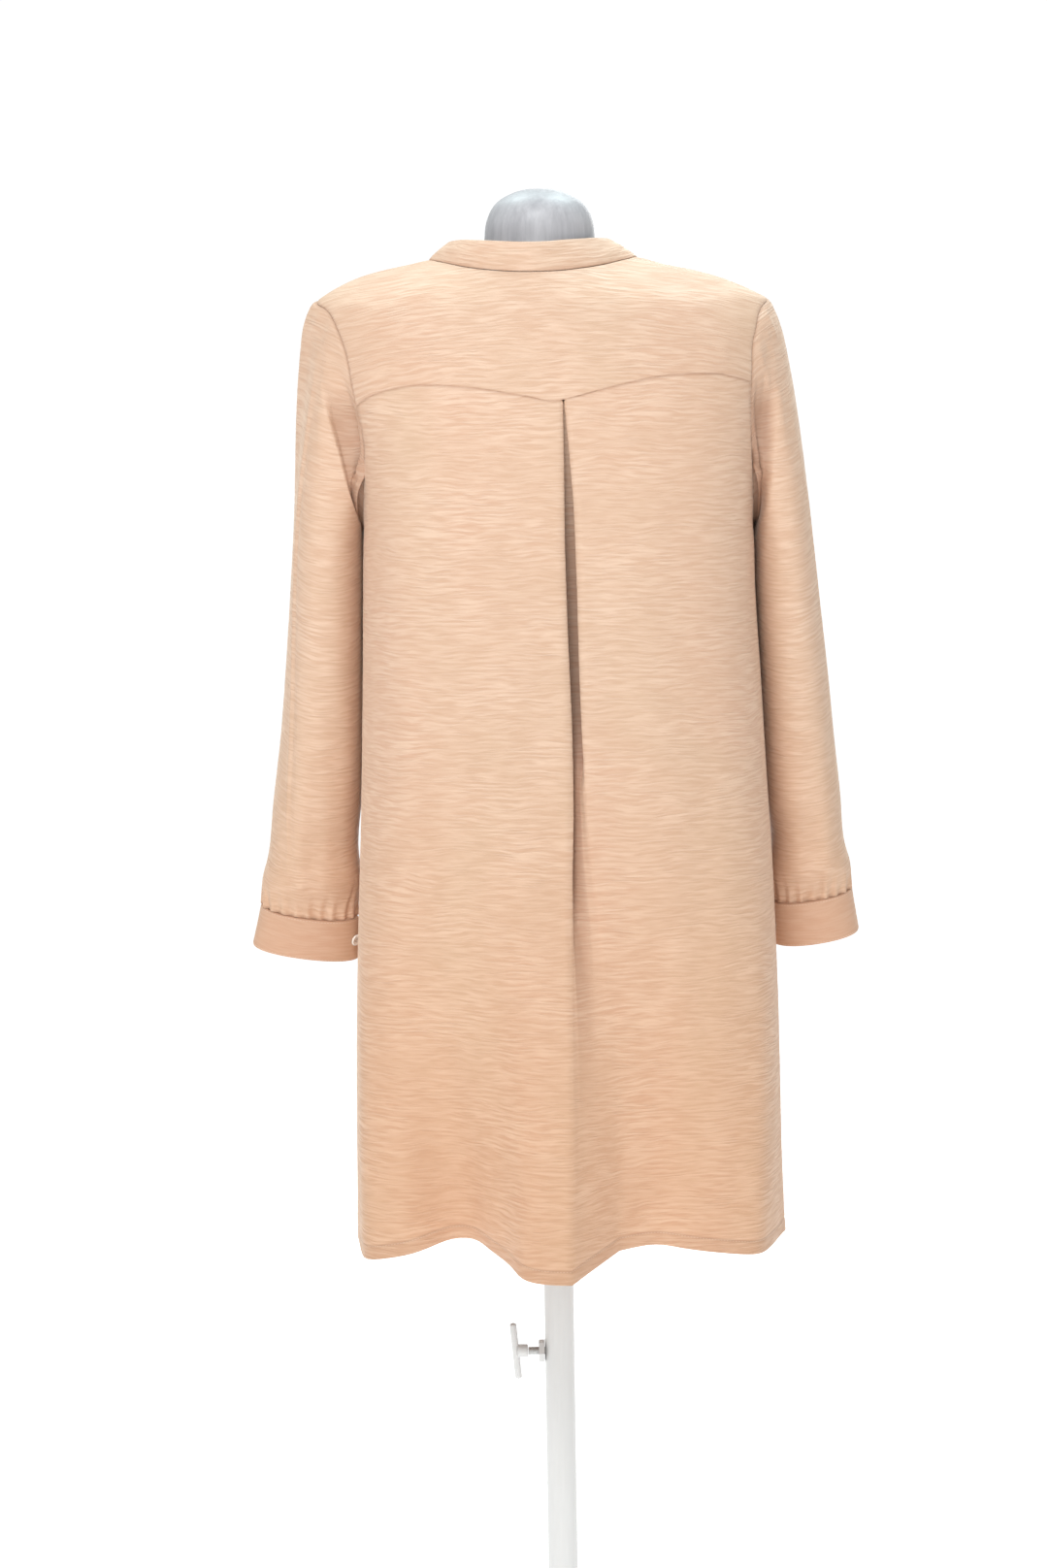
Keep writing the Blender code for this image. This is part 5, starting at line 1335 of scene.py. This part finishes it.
# Padded form under a smooth satin cover
form = table("z centre half back front square", (
    (1.5112, 0.0006, 0.0004, 0.0004, 0.0004, 2.00),
    (1.5104, 0.0006, 0.0130, 0.0130, 0.0130, 2.00),
    (1.5064, 0.0006, 0.0265, 0.0265, 0.0265, 2.00),
    (1.4990, 0.0006, 0.0387, 0.0387, 0.0387, 2.00),
    (1.4885, 0.0006, 0.0457, 0.0457, 0.0457, 2.00),
    (1.4770, 0.0008, 0.0489, 0.0489, 0.0489, 2.00),
    (1.4650, 0.0010, 0.0498, 0.0500, 0.0498, 2.00),
    (1.4540, 0.0020, 0.0530, 0.0530, 0.0505, 2.00),
    (1.4490, 0.0040, 0.0600, 0.0565, 0.0508, 2.05),
    (1.4460, 0.0070, 0.0790, 0.0600, 0.0500, 1.60),
    (1.4000, 0.0000, 0.1870, 0.0980, 0.0760, 1.75),
    (1.3850, -0.0020, 0.1820, 0.1015, 0.0810, 1.90),
    (1.3600, -0.0030, 0.1740, 0.1045, 0.0900, 2.10),
    (1.3200, -0.0020, 0.1600, 0.1040, 0.1010, 2.20),
    (1.2760, -0.0020, 0.1540, 0.1020, 0.1100, 2.20),
    (1.2200, -0.0020, 0.1500, 0.0980, 0.1090, 2.20),
    (1.1500, -0.0020, 0.1370, 0.0890, 0.0950, 2.15),
    (1.0500, -0.0020, 0.1250, 0.0820, 0.0860, 2.10),
    (0.9500, -0.0020, 0.1500, 0.0980, 0.0900, 2.15),
    (0.8700, -0.0020, 0.1600, 0.1020, 0.0900, 2.20),
    (0.8000, -0.0020, 0.1550, 0.0980, 0.0860, 2.20),
    (0.7680, -0.0020, 0.1500, 0.0940, 0.0820, 2.20),
    (0.7620, -0.0020, 0.1440, 0.0880, 0.0760, 2.20),
))

satin = {"base": (0.456, 0.448, 0.466), "streak": (0.306, 0.300, 0.318), "rows": 210,
         "columns": 144, "shoulders": (1.4428, 1.4392, 1.4345, 1.4255, 1.4175, 1.4095),
         "under": 0.0019, "widest": 0.187, "rear": 0.97, "fore": 0.895,
         "socket": ((0.060, 0.762), (0.01275, 0.762), (0.01275, 0.900))}


def satinFinish():
    cover = Finish("silverSatin", satin["base"], 0.40, Specular_IOR_Level=0.5, Sheen_Weight=0.3,
                   Sheen_Roughness=0.3)
    place = cover.place()
    streaks = cover.noise(place, (330.0, 330.0, 11.0), 3.0, 0.65)
    broad = cover.noise(place, (75.0, 75.0, 4.0), 2.0)
    # The streaks are partly the cover's own streaky weave and partly painted sheen: the colour is
    # painted in lighter and darker stripes
    mixed = cover.clamp((streaks - 0.5) * 1.3 + (broad - 0.5) * 1.0 + 0.62)
    cover.feed("Base Color", cover.blend(mixed, satin["streak"], satin["base"]))
    bump = cover.node("Bump", None, {"Strength": 0.5, "Distance": 0.0005,
                                     "Height": streaks + broad * 1.5})
    cover.feed("Normal", bump)
    cover.feed("Roughness", 0.34 + broad * 0.2)
    return cover.made


def finishForm():
    turn = np.linspace(0, 2 * math.pi, satin["columns"], endpoint=False)
    s = np.sin(turn)
    c = np.cos(turn)
    rings = [tuple(form[key][i] for key in form) + (form["square"][i],)
             for i in range(len(form["z"]))]
    for z in satin["shoulders"]:  # these lie just under the blouse's own rings
        own = {key: float(readRow(body, key, z + satin["under"])) for key in body if key != "z"}
        rings.append((z, own["centre"], min(own["half"], satin["widest"]),
                      own["back"] * satin["rear"], own["front"] * satin["fore"],
                      own["backSquare"], own["frontSquare"]))
    rings.sort(key=lambda ring: -ring[0])
    spots = []
    for z, centre, half, rear, fore, rearSquare, foreSquare in rings:
        square = np.where(c >= 0, rearSquare, foreSquare)
        depth = np.where(c >= 0, rear, fore)
        reach = reachOf(s, c, square)
        spots.append(np.stack([centre + half * s * reach, depth * c * reach, z + 0 * s], -1))
    grid = refine(np.array(spots), satin["rows"], flow)
    lows = [np.stack([radius * s - neckToPole, radius * c, z + 0 * s], -1)
            for radius, z in satin["socket"]]
    grid = np.concatenate([grid, np.array(lows)])
    rows, columns = grid.shape[:2]
    verts = grid.reshape(-1, 3).tolist()
    verts += [[form["centre"][0], 0, form["z"][0]], [-neckToPole, 0, satin["socket"][-1][1]]]
    faces = ringFaces(rows - 1, columns)
    crown = len(verts) - 2
    last = (rows - 1) * columns
    for j in range(columns):
        n = (j + 1) % columns
        faces.append((crown, n, j))
        faces.append((last + j, last + n, crown + 1))
    made = addPiece("formCover", np.array(verts) + (neckToPole, 0, 0), faces, satinFinish(), 50)
    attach(made, "form")
    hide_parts("form_torso")


finishForm()
print("form done")

# Painted stand and bare steel
def paintFinish():
    paint = Finish("whitePaint", (0.80, 0.79, 0.78), 0.34, Coat_Weight=0.25, Coat_Roughness=0.2)
    place = paint.place()
    rubbed = paint.noise(place, (60.0, 60.0, 9.0), 4.0, 0.6)
    paint.feed("Roughness", 0.28 + rubbed * 0.16)
    paint.feed("Base Color", paint.blend(rubbed, (0.66, 0.65, 0.635), (0.74, 0.735, 0.725)))
    return paint.made


def steelFinish():
    steel = Finish("brushedSteel", (0.62, 0.61, 0.60), 0.30, Metallic=1.0)
    place = steel.place()
    lines = steel.noise(place, (30.0, 30.0, 900.0), 3.0, 0.6)
    steel.feed("Roughness", 0.22 + lines * 0.22)
    return steel.made


finishes = {"paint": paintFinish(), "steel": steelFinish()}
clamp = {"height": 0.4317, "screwStart": 0.0131, "screwEnd": 0.0297, "screwRadius": 0.0037,
         "pitch": 0.00125, "threadDepth": 0.00024, "hubStart": 0.0300, "hubEnd": 0.0400,
         "hubRadius": 0.0062, "hubBevel": 0.0012, "barRadius": 0.0033, "barLength": 0.054,
         "barBevel": 0.0022, "barPlace": 0.0416, "tilt": 5.0}


def addRod(name, radius, length, place, turn, cells, bevel):
    bpy.ops.object.select_all(action="DESELECT")
    bpy.ops.mesh.primitive_cylinder_add(vertices=cells, radius=radius, depth=length,
                                        location=place, rotation=turn)
    rod = bpy.context.object
    rod.name = name
    rounded = rod.modifiers.new("rounded", "BEVEL")
    rounded.width = bevel
    rounded.segments = 4
    rounded.limit_method = "ANGLE"
    bpy.ops.object.modifier_apply(modifier="rounded")
    return rod


def finishHandle():
    middle = (clamp["hubStart"] + clamp["hubEnd"]) / 2
    hub = addRod("clampHandle", clamp["hubRadius"], clamp["hubEnd"] - clamp["hubStart"],
                 (middle, 0, clamp["height"]), (0, math.pi / 2, 0), 48, clamp["hubBevel"])
    bar = addRod("handleBar", clamp["barRadius"], clamp["barLength"],
                 (clamp["barPlace"], 0, clamp["height"]), (0, math.radians(clamp["tilt"]), 0), 40,
                 clamp["barBevel"])
    combine(hub, bar, "UNION")
    bpy.ops.object.transform_apply(location=True, rotation=True, scale=True)
    bpy.ops.object.shade_smooth_by_angle(angle=math.radians(40))
    hub.data.materials.append(finishes["paint"])
    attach(hub, "handle")
    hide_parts("clamp_handle")


def finishScrew():
    cells = 36
    length = clamp["screwEnd"] - clamp["screwStart"]
    steps = int(length / clamp["pitch"] * 8)
    verts = []
    for i in range(steps + 1):
        x = clamp["screwStart"] + length * i / steps
        for j in range(cells):
            a = 2 * math.pi * j / cells
            wave = math.cos(2 * math.pi * (x - clamp["screwStart"]) / clamp["pitch"] - a)
            ends = min(1, i / 4, (steps - i) / 4)
            r = clamp["screwRadius"] * (1 - 0.10 * (1 - ends)) + clamp["threadDepth"] * wave * ends
            verts.append((x, r * math.cos(a), clamp["height"] + r * math.sin(a)))
    made = addPiece("clampScrew", verts, closedFaces(steps + 1, cells), finishes["steel"], 50)
    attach(made, "screw")
    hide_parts("clamp_screw")


finishHandle()
finishScrew()
for node, kind in (("base_plate", "paint"), ("base_hub", "paint"), ("outer_tube", "paint"),
                   ("clamp_nut", "paint"), ("inner_tube", "steel")):
    shown = bpy.data.objects[node]
    for i in range(len(shown.material_slots)):
        shown.material_slots[i].material = finishes[kind]
buttonFinish = Finish("shellButton", (0.86, 0.80, 0.72), 0.22, Coat_Weight=0.5).made
threadFinish = Finish("sewingThread", (0.72, 0.52, 0.38), 0.7).made
thread = {"radius": 0.00024, "cells": 8, "steps": 13, "reach": 1.02, "start": 0.0008,
          "rise": 0.0009, "bow": 2.4, "over": (0.0002, 0.0006)}
button = {"radius": 0.0055, "hole": 0.0008, "spread": 0.00135, "gap": 0.0012, "middle": 0.0012,
          "cells": 40,
          "profile": ((0.0000, 0.70), (0.0003, 0.90), (0.0010, 1.00), (0.0018, 0.985),
                      (0.0023, 0.90), (0.0024, 0.82), (0.0021, 0.72), (0.0018, 0.62),
                      (0.0017, 0.50))}


def finishButton(side):
    name = "left" if side > 0 else "right"
    middle, across, rear, up = cuffFrame(side)
    sizes = cuff[side]
    half = (sizes["half"] + sizes["halfLow"]) / 2
    depth = (sizes["depth"] + sizes["depthLow"]) / 2
    at = math.radians(cuff["buttonAngle"])
    x, y = oval(at, half, depth, cuff["square"])
    x0, y0 = oval(at - 0.003, half, depth, cuff["square"])
    x1, y1 = oval(at + 0.003, half, depth, cuff["square"])
    away = unit((y1 - y0) * across - (x1 - x0) * rear)
    spot = middle + x * across + y * rear - up * cuff["height"] / 2
    beside = unit(np.cross(up, away))
    start = cuff["lapRise"] + button["gap"]
    cells = button["cells"]
    profile = button["profile"]
    verts = []
    for reach, share in profile:
        for i in range(cells):
            a = 2 * math.pi * i / cells
            verts.append(spot + away * (start + reach)
                         + (beside * math.cos(a) + up * math.sin(a)) * button["radius"] * share)
    faces = closedFaces(len(profile), cells)
    if np.dot(np.cross(beside, up), away) <= 0:
        faces = [face[::-1] for face in faces]
    made = addPiece("button" + name.title(), np.array(verts) + (neckToPole, 0, 0), faces,
                    buttonFinish, 50)
    for i in range(4):
        a = math.pi / 4 + math.pi / 2 * i
        place = spot + away * (start + button["middle"])
        place = place + (beside * math.cos(a) + up * math.sin(a)) * button["spread"]
        place = place + (neckToPole, 0, 0)
        bpy.ops.mesh.primitive_cylinder_add(vertices=16, radius=button["hole"], depth=0.006,
                                            location=place)
        drill = bpy.context.object
        drill.rotation_mode = "QUATERNION"
        drill.rotation_quaternion = Vector(away).to_track_quat("Z", "Y")
        combine(made, drill, "DIFFERENCE")
    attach(made, "form")
    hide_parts("cuff_button_" + name)
    for turn, over in zip((math.pi / 4, -math.pi / 4), thread["over"]):
        run = (beside * math.cos(turn) + up * math.sin(turn)) * button["spread"]
        path = []
        for t in np.linspace(0, 1, thread["steps"]):
            bow = min(1.0, math.sin(math.pi * t) * thread["bow"])
            path.append(spot + run * (1 - 2 * t) * thread["reach"]
                        + away * (start + thread["start"] + (thread["rise"] + over) * bow))
        addThread("thread" + name.title() + ("A" if turn > 0 else "B"), path)


def addThread(name, path):
    cells = thread["cells"]
    path = np.array(path) + (neckToPole, 0, 0)
    verts = []
    along = unit(np.gradient(path, axis=0))
    side = unit(np.cross(along, (0.3, 0.2, 0.93)))
    rise = np.cross(along, side)
    for i in range(len(path)):
        for j in range(cells):
            a = 2 * math.pi * j / cells
            away = side[i] * math.cos(a) + rise[i] * math.sin(a)
            verts.append(path[i] + away * thread["radius"])
    made = addPiece(name, verts, closedFaces(len(path), cells), threadFinish)
    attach(made, "form")


finishButton(1)
finishButton(-1)
print("stand done")

# White room with soft light
bpy.ops.mesh.primitive_plane_add(size=60, location=(0, 0, -0.0004))
floor = bpy.context.object
floor.name = "floor"
floorFinish = Finish("paleFloor", (0.90, 0.90, 0.90), 0.9, Emission_Color=(1, 1, 1, 1),
                     Emission_Strength=0.75)
floor.data.materials.append(floorFinish.made)

world = bpy.data.worlds.new("studio")
bpy.context.scene.world = world
world.use_nodes = True
seen = world.node_tree.nodes.new("ShaderNodeLightPath")
level = world.node_tree.nodes.new("ShaderNodeMath")
level.operation = "MULTIPLY_ADD"
room = {"ambient": 0.34, "seen": 0.70}
level.inputs[1].default_value = room["seen"]
level.inputs[2].default_value = room["ambient"]
world.node_tree.links.new(seen.outputs["Is Camera Ray"], level.inputs[0])
world.node_tree.nodes["Background"].inputs["Color"].default_value = (1, 1, 1, 1)
world.node_tree.links.new(level.outputs[0], world.node_tree.nodes["Background"].inputs["Strength"])
bpy.context.scene.view_settings.view_transform = "Standard"


def softbox(name, place, aim, size, power, colour):
    light = bpy.data.objects.new(name, bpy.data.lights.new(name, "AREA"))
    light.data.shape = "RECTANGLE"
    light.data.size = size[0]
    light.data.size_y = size[1]
    light.data.energy = power
    light.data.color = colour
    bpy.context.scene.collection.objects.link(light)
    run = np.array(aim) - np.array(place)
    light.location = place
    flat = math.hypot(run[0], run[1])
    light.rotation_euler = (math.pi / 2 + math.atan2(run[2], flat), 0, math.atan2(-run[0], run[1]))


softbox("above", (0.4, 1.7, 3.1), (0, 0, 1.15), (1.2, 0.9), 44, (0.93, 0.98, 1.0))
softbox("behindCamera", (0.9, 3.4, 1.9), (0, 0, 1.0), (1.6, 1.6), 22, (1.0, 0.96, 0.92))
softbox("shoulderGlow", (-0.55, -0.25, 2.7), (-0.10, 0.02, 1.42), (0.5, 0.5), 5, (0.8, 0.95, 1.0))
for side in (1, -1):
    softbox("rimGlow", (side * 0.45, -0.55, 2.6), (side * 0.12, 0.03, 1.43), (0.5, 0.3), 8,
            (0.80, 0.98, 0.97))
softbox("frontFill", (-0.8, -3.0, 2.4), (0, 0, 1.1), (1.6, 1.6), 26, (1.0, 1.0, 1.0))

cam = bpy.data.objects.new("camera", bpy.data.cameras.new("camera"))
bpy.context.scene.collection.objects.link(cam)
view = {"distance": 2.8, "height": 1.35, "aim": (0.025, 0.972), "lens": 70.4, "roll": 0.95}
cam.location = (view["aim"][0], view["distance"], view["height"])
pitch = math.atan2(view["height"] - view["aim"][1], view["distance"])
turned = Euler((math.pi / 2 - pitch, 0, math.pi)).to_matrix() @ Matrix.Rotation(
    math.radians(-view["roll"]), 3, "Z")
cam.rotation_euler = turned.to_euler()
cam.data.sensor_width = 36
cam.data.lens = view["lens"]
bpy.context.scene.camera = cam
